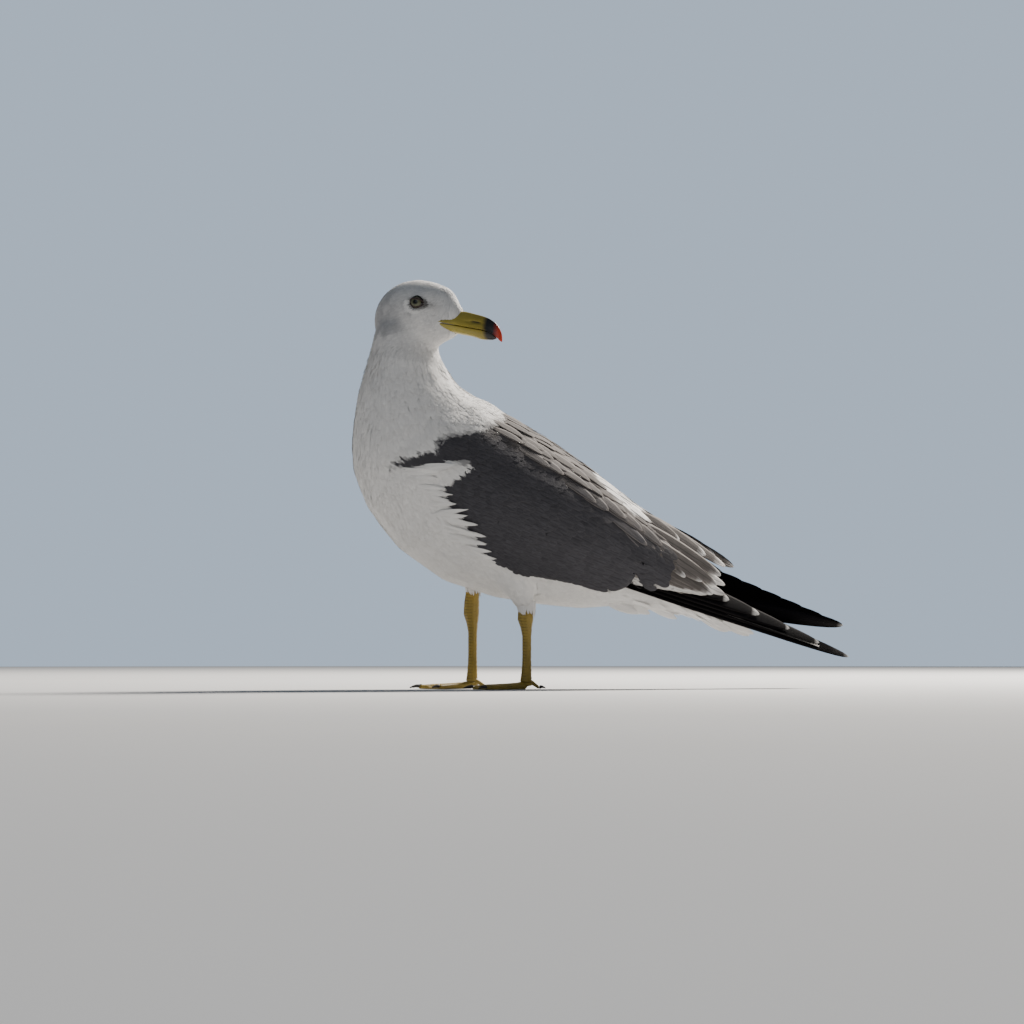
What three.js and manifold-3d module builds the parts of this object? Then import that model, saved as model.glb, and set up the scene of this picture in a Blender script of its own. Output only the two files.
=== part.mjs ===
// A standing black-tailed gull, life size, looking back over its left shoulder.
// Millimetres, +Z up. The body faces -X, so its left side is -Y. The soles stand at Z = 0.
import * as THREE from "three";
import { mergeVertices } from "three/addons/utils/BufferGeometryUtils.js";
import Module from "manifold-3d";

const wasm = await Module();
wasm.setup();

// ---------- Driving dimensions ----------
const GAP = 0.3; // clearance left between neighbouring pieces
const FAR = 400; // reach of the cutting blocks
const SLIVER = 0.1; // creases shallower than this are smoothed away after a cut
const END_CURVE = 0.6; // power of the rounding at the ends of every form

// Facets of each form: sides round a section, rings from end to end, and how blunt its ends are.
const FACETS = {
  body: [22, 26, 2.6],
  wing: [22, 18, 3],
  wingInside: [16, 12, 3],
  head: [20, 14, 2.2],
  upperBill: [10, 12, 4],
  lowerBill: [8, 9, 4],
  tail: [14, 11, 3.4],
  thigh: [14, 10, 4],
  primary: [6, 7, 5],
  toe: [6, 6, 4],
  claw: [6, 5, 4],
  shank: [8, 14, 6],
};

// Neck and trunk, from the top of the neck to the tips of the undertail coverts. Each station
// spans from the back line to the belly line, with its half width.
const BODY_STATIONS = [
  { back: [-58, 284], belly: [-91, 284], side: 18 },
  { back: [-49, 268], belly: [-95.5, 268], side: 21 },
  { back: [-44, 252], belly: [-99, 250], side: 25 },
  { back: [-32, 232], belly: [-106.5, 227], side: 32.5 },
  { back: [-18, 222], belly: [-110.5, 203], side: 40 },
  { back: [-9, 215], belly: [-112, 180], side: 46 },
  { back: [2, 206], belly: [-108.5, 157], side: 50.5 },
  { back: [19, 196], belly: [-91, 123.5], side: 54 },
  { back: [42, 181], belly: [-57, 91], side: 55 },
  { back: [66, 160], belly: [-14, 73], side: 51 },
  { back: [88, 140], belly: [32, 65], side: 43 },
  { back: [106, 120], belly: [68, 61.5], side: 33 },
  { back: [122, 104], belly: [97, 63.5], side: 24 },
  { back: [146, 89], belly: [134, 59], side: 17 },
  { back: [174, 73], belly: [168, 53], side: 11 },
  { back: [205, 54], belly: [204, 43], side: 5 },
];

// The folded wings and the grey back, an outer form that wraps the trunk.
const WING_STATIONS = [
  { back: [-22, 224], belly: [-114, 203], side: 40 },
  { back: [-6, 218], belly: [-113, 174], side: 48 },
  { back: [12, 206.5], belly: [-100, 139], side: 56 },
  { back: [40, 190.5], belly: [-60, 92], side: 61.5 },
  { back: [72, 169], belly: [2, 70], side: 59 },
  { back: [98, 149.5], belly: [45, 60], side: 52 },
  { back: [124, 132.5], belly: [80, 50], side: 43 },
  { back: [152, 114], belly: [112, 43], side: 33 },
  { back: [186, 98], belly: [146, 37], side: 22 },
  { back: [220, 82], belly: [182, 30], side: 12 },
];
const WING_SHELL = 9; // depth of the folded flight feathers behind the trunk

// Head: its own frame looks along the bill, and is turned back and tipped down.
const HEAD_CENTRE = new THREE.Vector3(-65, -2, 282);
const HEAD_TURN_DEG = -50; // direction of the bill seen from above, from +X
const HEAD_DIP_DEG = 9.5;
const HEAD_STATIONS = [
  { x: -30.5, top: 4, bottom: -12, side: 7 },
  { x: -27, top: 14, bottom: -19, side: 14.5 },
  { x: -18, top: 23, bottom: -25, side: 20 },
  { x: -6, top: 28.5, bottom: -27, side: 22 },
  { x: 8, top: 29.6, bottom: -26, side: 20.8 },
  { x: 20, top: 27.4, bottom: -22, side: 15.6 },
  { x: 29, top: 23.6, bottom: -17, side: 10.8 },
  { x: 37, top: 17.4, bottom: -12.6, side: 8 },
  { x: 43, top: 11.4, bottom: -9, side: 5.6 },
  { x: 46, top: 7.4, bottom: -5.4, side: 4 },
];
const HEAD_CUT_Z = 255; // level where the head parts from the neck

// Bill, in the head's frame.
const UPPER_BILL = [
  { x: 22, top: 3.4, bottom: -0.4, side: 10.6 },
  { x: 35, top: 7.8, bottom: -1.2, side: 9.4 },
  { x: 46, top: 9.5, bottom: -1.7, side: 6.8 },
  { x: 56, top: 8.6, bottom: -2, side: 5.4 },
  { x: 65, top: 7.5, bottom: -2.3, side: 4.5 },
  { x: 72, top: 5.3, bottom: -3, side: 3.7 },
  { x: 78, top: 1, bottom: -5.2, side: 2.7 },
  { x: 81.6, top: -3.8, bottom: -8, side: 1.5 },
  { x: 82.8, top: -7.4, bottom: -9.4, side: 0.8 },
];
const LOWER_BILL = [
  { x: 23, top: -0.4, bottom: -5.6, side: 10 },
  { x: 36, top: -1.2, bottom: -7.4, side: 8.6 },
  { x: 48, top: -1.7, bottom: -7.9, side: 5.7 },
  { x: 58, top: -2, bottom: -8.2, side: 4.7 },
  { x: 66, top: -2.3, bottom: -9, side: 3.8 },
  { x: 73, top: -3.2, bottom: -8.6, side: 2.8 },
  { x: 78, top: -5.6, bottom: -8, side: 1.6 },
];
const BILL_RIDGE = 0.55; // how narrow the culmen is, against the bill's edge
const EYE = { x: 12, y: 13, z: 11.4, radius: 6.6 };

// Side outlines of the folded wing, as X, Z. Its wrist is tucked under the breast feathers.
const COVERT_TOP = [[-12, 238], [-31, 205], [-58, 195], [-68, 181], [-86, 172]];
const COVERT_FRONT = [[-72, 165], [-56, 160], [-46, 140], [-31, 117], [-26, 104], [-16, 95]];
const COVERT_FOOT = [[2, 87], [28, 84.5], [52, 79], [76, 73], [92, 79]];
const COVERT_BACK = [[98, 96], [101, 118], [107, 132]];
const TERTIAL_FOOT = [[113, 77], [138, 73], [158, 71.5], [168, 66]];
const TERTIAL_TIPS = [[177, 70], [180, 84], [176, 97], [164, 112]];
const COVERT_OVER = [60, 260]; // outline corners clear above the back
const TERTIAL_OVER = [108, 150];
const TERTIAL_EXTRA = { left: 0, right: 16 }; // the right wing's tertials reach further back

// Primaries: the longest is the lowest and outermost; each one inward is shorter and lies higher.
const PRIMARY = {
  count: 5,
  step: 27,
  rise: 3.1,
  inward: 1,
  bow: 3,
  halfWidths: [4.95, 8.1, 9, 6.48, 1.98],
  halfThicks: [1.32, 1.32, 1.21, 0.99, 0.55],
};
const PRIMARY_LEFT = { root: [84, -32, 85], tip: [284, -8, 26] };
const PRIMARY_RIGHT = { root: [84, 32, 92], tip: [279, 6, 51] };
const PRIMARY_LEAN_DEG = 35; // how far the stacked vanes lean in towards the rump

// Tail: a closed fan of feathers, nearly flat.
const TAIL = {
  root: [104, 0, 83],
  tip: [260, 0, 34],
  halfWidths: [13, 20, 26, 30, 31],
  halfThicks: [5, 3.4, 2.2, 1.4, 0.9],
};

// Legs, with the right foot a short step ahead of the left.
const LEG_LEFT = { x: 17, y: -25, thighTop: [-2, -27, 104], ankle: 54.5, thighEnd: 61, out: -1 };
const LEG_RIGHT = { x: -12.5, y: 25, thighTop: [-26, 27, 108], ankle: 59, thighEnd: 77, out: 1 };
const THIGH = {
  fore: [22, 20, 15, 9.5, 6.2],
  side: [17.6, 16, 12, 7.6, 4.96],
  kneeAbove: 18,
  endFore: 0.8,
  endBelow: 1,
};
const SHANK = {
  fore: [4.6, 6.3, 3.9, 3.6, 3.6, 4.2, 5],
  side: [3.6, 4.6, 2.6, 2.3, 2.3, 2.9, 4.4],
  bow: [[-0.43, 0.8], [0, -0.6], [0.22, 0.4], [0.45, 0.5], [0.68, 0.4], [0.88, 0.2], [1.07, -0.6]],
};
const FOOT_JOINT_Z = 5.5; // where the shank parts from the foot
const TOES = [
  { name: "inner", turn: -24, reach: 33, radius: 2.7 },
  { name: "middle", turn: 0, reach: 43, radius: 2.9 },
  { name: "outer", turn: 24, reach: 40, radius: 2.7 },
];
const TOE_TAPER = [1.25, 1, 0.92, 0.85, 0.62];
const TOE_STOPS = [[-0.02, 3.2], [0.25, 2.1], [0.6, 1.7], [1, 1.2]]; // share of reach, height
const HIND_STOPS = [[1, 7.5], [6, 4.4], [11, 1.1]]; // distance behind the shank, height
const HIND_CLAW_STOPS = [[11, 1.5], [13.5, 2], [16.5, 0.8]];
const HIND_SPLAY = 0.23; // how far the hind toe goes inward for each millimetre back
const HIND_RADII = [2.2, 1.9, 1.4];
const WEB_THICKNESS = 1.3;
const WEB_REACH = 0.97; // share of each toe that the web follows
const WEB_BAY = 0.84;
const WEB_STEPS = 4;
const CLAW_LENGTH = 6.5;
const CLAW_STOPS = [[0.95, 0, 2.1], [1, 0.35, 2.2], [1, 1, 0.7]]; // toe share, claw share, height
const CLAW_RADII = [1.5, 1.2, 0.8, 0.4];

// ---------- Shared working ----------
const point = ([x, y, z]) => new THREE.Vector3(x, y, z);
const radians = THREE.MathUtils.degToRad;

// A smooth curve through rows of three numbers, read by a share from 0 to 1.
function smoothRow(rows) {
  const curve = new THREE.CatmullRomCurve3(rows.map(point), false, "catmullrom", 0.5);
  return (share) => curve.getPoint(share);
}

// A solid from a closed three.js geometry.
function solidOf(geometry) {
  const bare = geometry.index ? geometry.toNonIndexed() : geometry.clone();
  bare.deleteAttribute("normal");
  bare.deleteAttribute("uv");
  const merged = mergeVertices(bare, 1e-4);
  return new wasm.Manifold(
    new wasm.Mesh({
      numProp: 3,
      vertProperties: merged.attributes.position.array,
      triVerts: new Uint32Array(merged.index.array),
    }),
  );
}

// A sphere whose rings are pulled out to the sections of a form. section(share, turn) places one
// vertex: share runs from end to end, and turn goes round. Both ends are rounded.
function formed(section, around, along) {
  const geometry = new THREE.SphereGeometry(1, around, along);
  const position = geometry.attributes.position;
  for (let ring = 0; ring <= along; ring++) {
    for (let step = 0; step <= around; step++) {
      const share = (1 - Math.cos(Math.PI * (ring / along))) / 2;
      const closing = Math.sin(Math.PI * (ring / along));
      const place = section(share, (2 * Math.PI * (step % around)) / around, closing);
      position.setXYZ(ring * (around + 1) + step, place.x, place.y, place.z);
    }
  }
  const solid = solidOf(geometry);
  if (solid.volume() > 0) return solid;
  geometry.index.array.reverse();
  return solidOf(geometry);
}

// How far a section has opened, from 0 at a pole to 1 past the rounded end.
const opened = (closing, bluntness) => Math.min(1, closing * bluntness) ** END_CURVE;

// A form whose sections span between a back line and a belly line in the body's plane.
function spanned(stations, grow, [around, along, bluntness]) {
  const back = smoothRow(stations.map((s) => [s.back[0], 0, s.back[1]]));
  const belly = smoothRow(stations.map((s) => [s.belly[0], 0, s.belly[1]]));
  const side = smoothRow(stations.map((s) => [s.side, 0, 0]));
  const section = (share, turn, closing) => {
    const top = back(share);
    const bottom = belly(share);
    const centre = top.clone().add(bottom).multiplyScalar(0.5);
    const half = top.clone().sub(bottom).multiplyScalar(0.5);
    const open = opened(closing, bluntness);
    half.setLength((half.length() + grow) * open);
    const across = (side(share).x + grow) * open;
    return centre
      .addScaledVector(half, Math.cos(turn))
      .add(new THREE.Vector3(0, across * Math.sin(turn), 0));
  };
  return formed(section, around, along);
}

// A form in the head's frame, placed on the head.
const headMatrix = new THREE.Matrix4().compose(
  HEAD_CENTRE,
  new THREE.Quaternion().setFromEuler(
    new THREE.Euler(0, radians(HEAD_DIP_DEG), radians(HEAD_TURN_DEG), "ZYX"),
  ),
  new THREE.Vector3(1, 1, 1),
);
function onHead(stations, grow, [around, along, bluntness], ridge = 1) {
  const level = smoothRow(stations.map((s) => [s.x, s.top, s.bottom]));
  const side = smoothRow(stations.map((s) => [s.side, 0, 0]));
  const section = (share, turn, closing) => {
    const { x, y: top, z: bottom } = level(share);
    const open = opened(closing, bluntness);
    const high = ((top - bottom) / 2 + grow) * open;
    const across = (side(share).x + grow) * open;
    const rise = Math.cos(turn);
    const narrowed = Math.sin(turn) * (rise > 0 ? 1 - (1 - ridge) * rise : 1);
    return new THREE.Vector3(x, across * narrowed, (top + bottom) / 2 + high * rise).applyMatrix4(
      headMatrix,
    );
  };
  return formed(section, around, along);
}

// A form that follows a path, with half sizes along two fixed directions.
function along(path, firstWay, firstSizes, secondWay, secondSizes, grow, [around, steps, blunt]) {
  const line = smoothRow(path);
  const first = smoothRow(firstSizes.map((s) => [s, 0, 0]));
  const second = smoothRow(secondSizes.map((s) => [s, 0, 0]));
  const section = (share, turn, closing) => {
    const open = opened(closing, blunt);
    return line(share)
      .addScaledVector(firstWay, (first(share).x + grow) * open * Math.cos(turn))
      .addScaledVector(secondWay, (second(share).x + grow) * open * Math.sin(turn));
  };
  return formed(section, around, steps);
}

// A block that covers one side of a plane through a point.
function sideOf(through, outward) {
  const block = new THREE.BoxGeometry(2 * FAR, 2 * FAR, FAR);
  block.translate(0, 0, FAR / 2);
  block.applyQuaternion(
    new THREE.Quaternion().setFromUnitVectors(new THREE.Vector3(0, 0, 1), outward.clone().normalize()),
  );
  block.translate(through.x, through.y, through.z);
  return solidOf(block);
}

// A prism through the body from a side outline in X and Z, between two Y levels.
function sidePrism(outline, grow, fromY, toY) {
  const shape = new THREE.Shape();
  shape.moveTo(...outline[0]);
  shape.splineThru(outline.slice(1).map(([x, z]) => new THREE.Vector2(x, z)));
  const geometry = new THREE.ExtrudeGeometry(shape, {
    depth: toY - fromY,
    curveSegments: 2,
    bevelEnabled: grow > 0,
    bevelSize: grow,
    bevelThickness: grow,
    bevelSegments: 1,
  });
  geometry.rotateX(Math.PI / 2);
  geometry.translate(0, toY, 0);
  return solidOf(geometry);
}

// ---------- Materials ----------
const finish = (color, roughness) => new THREE.MeshStandardMaterial({ color, roughness, metalness: 0 });
const whitePlumage = finish(0xf1f1ef, 0.85);
const greyPlumage = finish(0x565a62, 0.8);
const blackPlumage = finish(0x1a1a1c, 0.6);
const billHorn = finish(0xb9a53a, 0.4);
const legSkin = finish(0xb49a3c, 0.5);
const clawHorn = finish(0x1c1a18, 0.4);
const eyeball = finish(0xc9c48a, 0.1);

const gull = new THREE.Group();
function addPiece(name, cut, material) {
  const solid = cut.simplify(SLIVER);
  const { numProp, numVert, vertProperties, triVerts } = solid.getMesh();
  const corners = new Float32Array(numVert * 3);
  for (let i = 0; i < numVert; i++)
    corners.set(vertProperties.subarray(i * numProp, i * numProp + 3), i * 3);
  const geometry = new THREE.BufferGeometry()
    .setAttribute("position", new THREE.BufferAttribute(corners, 3))
    .setIndex(new THREE.BufferAttribute(triVerts, 1));
  const mesh = new THREE.Mesh(geometry, material);
  mesh.name = name;
  gull.add(mesh);
}
// The largest of the bodies that a cut leaves, without the slivers.
const largest = (solid) =>
  solid.decompose().reduce((best, body) => (body.volume() > best.volume() ? body : best));

// ---------- Head, neck and trunk ----------
const body = spanned(BODY_STATIONS, 0, FACETS.body);
const bodyRoom = spanned(BODY_STATIONS, GAP, FACETS.body);
const skull = onHead(HEAD_STATIONS, 0, FACETS.head);
const headRoom = onHead(HEAD_STATIONS, GAP, FACETS.head);

const headCut = (offset, way) =>
  sideOf(new THREE.Vector3(0, 0, HEAD_CUT_Z + offset), new THREE.Vector3(0, 0, way));
const neckFoot = BODY_STATIONS[3];
const neckFootPoint = new THREE.Vector3(neckFoot.back[0], 0, neckFoot.back[1]);
const neckFootWay = new THREE.Vector3(
  neckFoot.belly[1] - neckFoot.back[1],
  0,
  neckFoot.back[0] - neckFoot.belly[0],
);
const neckCut = (offset, way) => {
  const outward = neckFootWay.clone().normalize();
  return sideOf(neckFootPoint.clone().addScaledVector(outward, offset), outward.multiplyScalar(way));
};
const eyes = [1, -1].map((side) => {
  const place = new THREE.Vector3(EYE.x, side * EYE.y, EYE.z).applyMatrix4(headMatrix);
  const ball = (radius) => {
    const sphere = new THREE.SphereGeometry(radius, 12, 8);
    sphere.translate(place.x, place.y, place.z);
    return solidOf(sphere);
  };
  return { side, ball: ball(EYE.radius), room: ball(EYE.radius + GAP) };
});

const head = skull
  .add(body)
  .intersect(headCut(GAP / 2, 1))
  .subtract(eyes[0].room)
  .subtract(eyes[1].room);
const neck = body.subtract(headCut(-GAP / 2, 1)).intersect(neckCut(GAP / 2, 1));
const trunk = body.subtract(neckCut(-GAP / 2, 1));
addPiece("head", largest(head), whitePlumage);
addPiece("neck", largest(neck), whitePlumage);
addPiece("trunk", largest(trunk), whitePlumage);
for (const { side, ball } of eyes) addPiece(side > 0 ? "eye_left" : "eye_right", ball, eyeball);

// ---------- Bill ----------
const upperBill = onHead(UPPER_BILL, 0, FACETS.upperBill, BILL_RIDGE);
const upperRoom = onHead(UPPER_BILL, GAP, FACETS.upperBill, BILL_RIDGE);
const lowerBill = onHead(LOWER_BILL, 0, FACETS.lowerBill);
addPiece("bill_upper", largest(upperBill.subtract(headRoom).subtract(bodyRoom)), billHorn);
addPiece(
  "bill_lower",
  largest(lowerBill.subtract(headRoom).subtract(bodyRoom).subtract(upperRoom)),
  billHorn,
);

// ---------- Tail ----------
const acrossWay = new THREE.Vector3(0, 1, 0);
const tailLine = point(TAIL.tip).sub(point(TAIL.root)).normalize();
const tailUp = new THREE.Vector3(-tailLine.z, 0, tailLine.x);
const tailForm = (grow) =>
  along(
    [TAIL.root, TAIL.tip],
    tailUp, TAIL.halfThicks,
    acrossWay, TAIL.halfWidths,
    grow, FACETS.tail,
  );
const tail = tailForm(0);
const tailRoom = tailForm(GAP);
addPiece("tail", largest(tail.subtract(bodyRoom)), whitePlumage);

// ---------- Feathered thighs ----------
const foreWay = new THREE.Vector3(1, 0, 0);
function thighForm(leg, grow) {
  const path = [
    leg.thighTop,
    [(leg.thighTop[0] + leg.x) / 2, leg.thighTop[1], leg.thighEnd + THIGH.kneeAbove],
    [leg.x + THIGH.endFore, leg.y, leg.thighEnd - THIGH.endBelow],
  ];
  return along(path, foreWay, THIGH.fore, acrossWay, THIGH.side, grow, FACETS.thigh);
}

// ---------- Wings ----------
// One primary is a long narrow blade; the stack is joined into one piece.
function primaryStack({ root, tip }, side, grow) {
  const lean = radians(PRIMARY_LEAN_DEG);
  const flat = new THREE.Vector3(0, side * Math.cos(lean), Math.sin(lean));
  const blades = [];
  for (let i = 0; i < PRIMARY.count; i++) {
    const from = point(root);
    const line = point(tip).sub(from).normalize();
    const edge = new THREE.Vector3().crossVectors(line, flat).normalize();
    if (edge.z < 0) edge.negate();
    const to = point(tip).addScaledVector(line, -PRIMARY.step * i);
    for (const end of [from, to]) {
      end.z += PRIMARY.rise * i;
      end.y -= side * PRIMARY.inward * i;
    }
    const middle = from.clone().lerp(to, 0.5);
    middle.z += PRIMARY.bow;
    const path = [from, middle, to].map((place) => place.toArray());
    blades.push(
      along(path, edge, PRIMARY.halfWidths, flat, PRIMARY.halfThicks, grow, FACETS.primary),
    );
  }
  return blades.reduce((joined, blade) => joined.add(blade));
}

const envelope = spanned(WING_STATIONS, 0, FACETS.wing);
const inside = spanned(WING_STATIONS, -WING_SHELL, FACETS.wingInside);
const covertOutline = [...COVERT_TOP, ...COVERT_FRONT, ...COVERT_FOOT, ...COVERT_BACK, COVERT_OVER];

const wings = [
  { name: "left", side: -1, primaries: PRIMARY_LEFT, leg: LEG_LEFT },
  { name: "right", side: 1, primaries: PRIMARY_RIGHT, leg: LEG_RIGHT },
];
for (const { name, side, primaries, leg } of wings) {
  const prism = (outline, grow) =>
    side < 0
      ? sidePrism(outline, grow, -FAR / 2, -GAP / 2)
      : sidePrism(outline, grow, GAP / 2, FAR / 2);
  const tips = TERTIAL_TIPS.map(([x, z]) => [x + TERTIAL_EXTRA[name], z]);
  const tertialOutline = [COVERT_BACK[1], COVERT_BACK[0], ...TERTIAL_FOOT, ...tips, TERTIAL_OVER];
  const stack = primaryStack(primaries, side, 0).subtract(bodyRoom).subtract(tailRoom);
  const stackRoom = primaryStack(primaries, side, GAP);
  const coverts = envelope
    .intersect(prism(covertOutline, 0))
    .subtract(bodyRoom)
    .subtract(thighForm(leg, GAP))
    .subtract(stackRoom);
  const tertials = envelope
    .subtract(inside)
    .intersect(prism(tertialOutline, 0))
    .subtract(prism(covertOutline, GAP))
    .subtract(bodyRoom)
    .subtract(tailRoom)
    .subtract(stackRoom);
  addPiece(`wing_${name}_coverts`, largest(coverts), greyPlumage);
  addPiece(`wing_${name}_tertials`, largest(tertials), greyPlumage);
  addPiece(`wing_${name}_primaries`, largest(stack), blackPlumage);
}

// ---------- Legs and feet ----------
const upWay = new THREE.Vector3(0, 0, 1);
const level = (height, way) => sideOf(new THREE.Vector3(0, 0, height), upWay.clone().multiplyScalar(way));
const belowFloor = level(0, -1);

// A place along a toe, at a share of its reach from the shank and a height.
function alongToe(leg, toe, share, height) {
  const turn = radians(toe.turn) * leg.out;
  const reach = toe.reach * share;
  return [leg.x - Math.cos(turn) * reach, leg.y + Math.sin(turn) * reach, height];
}

// A toe or its claw: a tapering round form along a path that keeps to the toe's own line.
function digit(leg, toe, stops, sizes, grow, facets) {
  const turn = radians(toe.turn) * leg.out;
  const sideWay = new THREE.Vector3(Math.sin(turn), Math.cos(turn), 0);
  const path = stops.map(([share, height]) => alongToe(leg, toe, share, height));
  return along(path, upWay, sizes, sideWay, sizes, grow, facets);
}
function toeForm(leg, toe, grow) {
  const sizes = TOE_TAPER.map((share) => share * toe.radius);
  return digit(leg, toe, TOE_STOPS, sizes, grow, FACETS.toe);
}
function clawForm(leg, toe) {
  const stops = CLAW_STOPS.map(([share, past, height]) => [
    share + (past * CLAW_LENGTH) / toe.reach,
    height,
  ]);
  return digit(leg, toe, stops, CLAW_RADII, 0, FACETS.claw);
}

// The short hind toe slopes back to rest its tip, and its claw, on the floor.
function hindForm(leg, stops, sizes, grow) {
  const path = stops.map(([back, height]) => [
    leg.x + back,
    leg.y - leg.out * back * HIND_SPLAY,
    height,
  ]);
  return along(path, upWay, sizes, acrossWay, sizes, grow, FACETS.toe);
}
const hindToe = (leg, grow) => hindForm(leg, HIND_STOPS, HIND_RADII, grow);
const hindClaw = (leg) => hindForm(leg, HIND_CLAW_STOPS, CLAW_RADII, 0);

// The web fills the fan of toes, with a shallow bay between each pair.
function webPlate(leg) {
  const flat = (toe, share) => alongToe(leg, toe, share, 0).slice(0, 2);
  const web = new THREE.Shape();
  web.moveTo(leg.x, leg.y);
  web.lineTo(...flat(TOES[0], WEB_REACH));
  TOES.slice(1).forEach((toe, i) => {
    const before = TOES[i];
    const bay = { turn: (before.turn + toe.turn) / 2, reach: Math.min(before.reach, toe.reach) };
    web.quadraticCurveTo(...flat(bay, WEB_BAY), ...flat(toe, WEB_REACH));
  });
  web.closePath();
  return solidOf(
    new THREE.ExtrudeGeometry(web, {
      depth: WEB_THICKNESS,
      bevelEnabled: false,
      curveSegments: WEB_STEPS,
    }),
  );
}

// The bare leg, thick at the ankle and the foot and oval between them.
function shankForm(leg) {
  const fall = leg.ankle - FOOT_JOINT_Z;
  const path = SHANK.bow.map(([share, fore]) => [leg.x + fore, leg.y, leg.ankle - fall * share]);
  return along(path, foreWay, SHANK.fore, acrossWay, SHANK.side, 0, FACETS.shank);
}

for (const [name, leg] of Object.entries({ left: LEG_LEFT, right: LEG_RIGHT })) {
  const joined = (forms) => forms.reduce((whole, form) => whole.add(form));
  const toes = (grow) => joined([...TOES.map((toe) => toeForm(leg, toe, grow)), hindToe(leg, grow)]);
  const shank = shankForm(leg);
  const bare = shank
    .subtract(thighForm(leg, GAP))
    .subtract(bodyRoom)
    .subtract(toes(GAP))
    .subtract(level(FOOT_JOINT_Z, -1));
  const foot = joined([webPlate(leg), toes(0), shank.subtract(level(FOOT_JOINT_Z - GAP, 1))]);
  addPiece(`thigh_${name}`, largest(thighForm(leg, 0).subtract(bodyRoom)), whitePlumage);
  addPiece(`shank_${name}`, largest(bare), legSkin);
  addPiece(`foot_${name}`, largest(foot.subtract(belowFloor)), legSkin);
  for (const toe of TOES) {
    const claw = clawForm(leg, toe).subtract(toeForm(leg, toe, GAP)).subtract(belowFloor);
    addPiece(`claw_${name}_${toe.name}`, largest(claw), clawHorn);
  }
  const backClaw = hindClaw(leg).subtract(hindToe(leg, GAP)).subtract(belowFloor);
  addPiece(`claw_${name}_hind`, largest(backClaw), clawHorn);
}

// ---------- Frame ----------
// The origin is on the floor under the middle of the whole bird.
const reach = new THREE.Box3().setFromObject(gull);
const middle = reach.getCenter(new THREE.Vector3());
gull.position.set(-middle.x, -middle.y, -reach.min.z);

export default gull;
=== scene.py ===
import math

import bpy
import numpy as np
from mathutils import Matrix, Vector
from mathutils.bvhtree import BVHTree


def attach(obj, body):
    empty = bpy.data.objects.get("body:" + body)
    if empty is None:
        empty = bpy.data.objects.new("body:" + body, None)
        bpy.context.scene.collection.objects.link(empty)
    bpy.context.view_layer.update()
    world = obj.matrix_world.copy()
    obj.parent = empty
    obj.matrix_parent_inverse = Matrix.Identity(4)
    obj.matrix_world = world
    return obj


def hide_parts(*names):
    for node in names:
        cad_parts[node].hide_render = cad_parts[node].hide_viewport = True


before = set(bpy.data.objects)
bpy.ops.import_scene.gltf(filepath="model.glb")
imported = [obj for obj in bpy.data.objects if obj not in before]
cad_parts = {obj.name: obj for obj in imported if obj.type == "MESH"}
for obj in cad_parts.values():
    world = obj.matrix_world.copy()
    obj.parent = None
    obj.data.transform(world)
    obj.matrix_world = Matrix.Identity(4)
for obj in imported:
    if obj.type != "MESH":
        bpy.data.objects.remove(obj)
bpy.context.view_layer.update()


# ---------- Skin ----------
# The hide of the whole bird from the brow to the vent, with the folded wing arms under it. It is
# one closed form without a seam, and lies under the feathers by their depth. On a mounted bird it
# is tanned and drawn over the body.
MM = 0.001
SKIN_PARTS = [
    "head", "neck", "trunk", "thigh_left", "thigh_right", "wing_left_coverts", "wing_right_coverts",
]
SKIN_GRID = 2.1 * MM
BODY_SHIFT = np.array([-85.97, 1.49, 0.0])  # from the body's own measures to the floor origin
HEAD_CENTRE = np.array([-65.0, -2.0, 282.0]) + BODY_SHIFT
HEAD_TURN, HEAD_DIP = math.radians(-50), math.radians(9.5)
EYE_PLACE = np.array([12.0, 13.0, 11.4])  # ahead, to the side and above, in the head's own measure


def select_only(*pieces):
    bpy.ops.object.select_all(action="DESELECT")
    for piece in pieces:
        piece.select_set(True)
    bpy.context.view_layer.objects.active = pieces[0]


def edit_all(piece, step, **settings):
    """Runs one mesh operator on the whole of a piece."""
    select_only(piece)
    bpy.ops.object.mode_set(mode="EDIT")
    bpy.ops.mesh.select_all(action="SELECT")
    step(**settings)
    bpy.ops.object.mode_set(mode="OBJECT")


def shape_with(piece, kind, **settings):
    """Adds one modifier and applies it at once."""
    select_only(piece)
    modifier = piece.modifiers.new(kind.title(), kind)
    for key, value in settings.items():
        setattr(modifier, key, value)
    bpy.ops.object.modifier_apply(modifier=modifier.name)


def smooth_form(name, node_names, grid, rounds, swell=0.25 * MM):
    """A fine even surface over solids of the frame. They are swollen, so that neighbours join, and
    their facets are smoothed away."""
    copies = []
    for node_name in node_names:
        copies.append(bpy.data.objects.new(name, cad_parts[node_name].data.copy()))
        bpy.context.scene.collection.objects.link(copies[-1])
        copies[-1].data.materials.clear()
    select_only(*copies)
    if len(copies) > 1:
        bpy.ops.object.join()
    form = bpy.context.view_layer.objects.active
    edit_all(form, bpy.ops.mesh.remove_doubles, threshold=1e-6)
    form.name = name
    shape_with(form, "DISPLACE", strength=swell, mid_level=0)
    shape_with(form, "REMESH", mode="VOXEL", voxel_size=grid, use_smooth_shade=True)
    shape_with(form, "SMOOTH", factor=0.5, iterations=rounds)
    return form


def read_rows(piece, what):
    """The places or the outward directions of a mesh's corners, as stored."""
    rows = np.empty(len(piece.data.vertices) * 3, np.float32)
    piece.data.vertices.foreach_get(what, rows)
    return rows.reshape(-1, 3).astype(float)


def move_corners(piece, places):
    """Moves a mesh's corners to places in millimetres."""
    piece.data.vertices.foreach_set("co", (places * MM).astype(np.float32).ravel())
    piece.data.update()


def unit(ways):
    return ways / np.maximum(np.linalg.norm(ways, axis=-1, keepdims=True), 1e-9)


def turn_pair(angle):
    return math.cos(angle), math.sin(angle)


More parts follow.
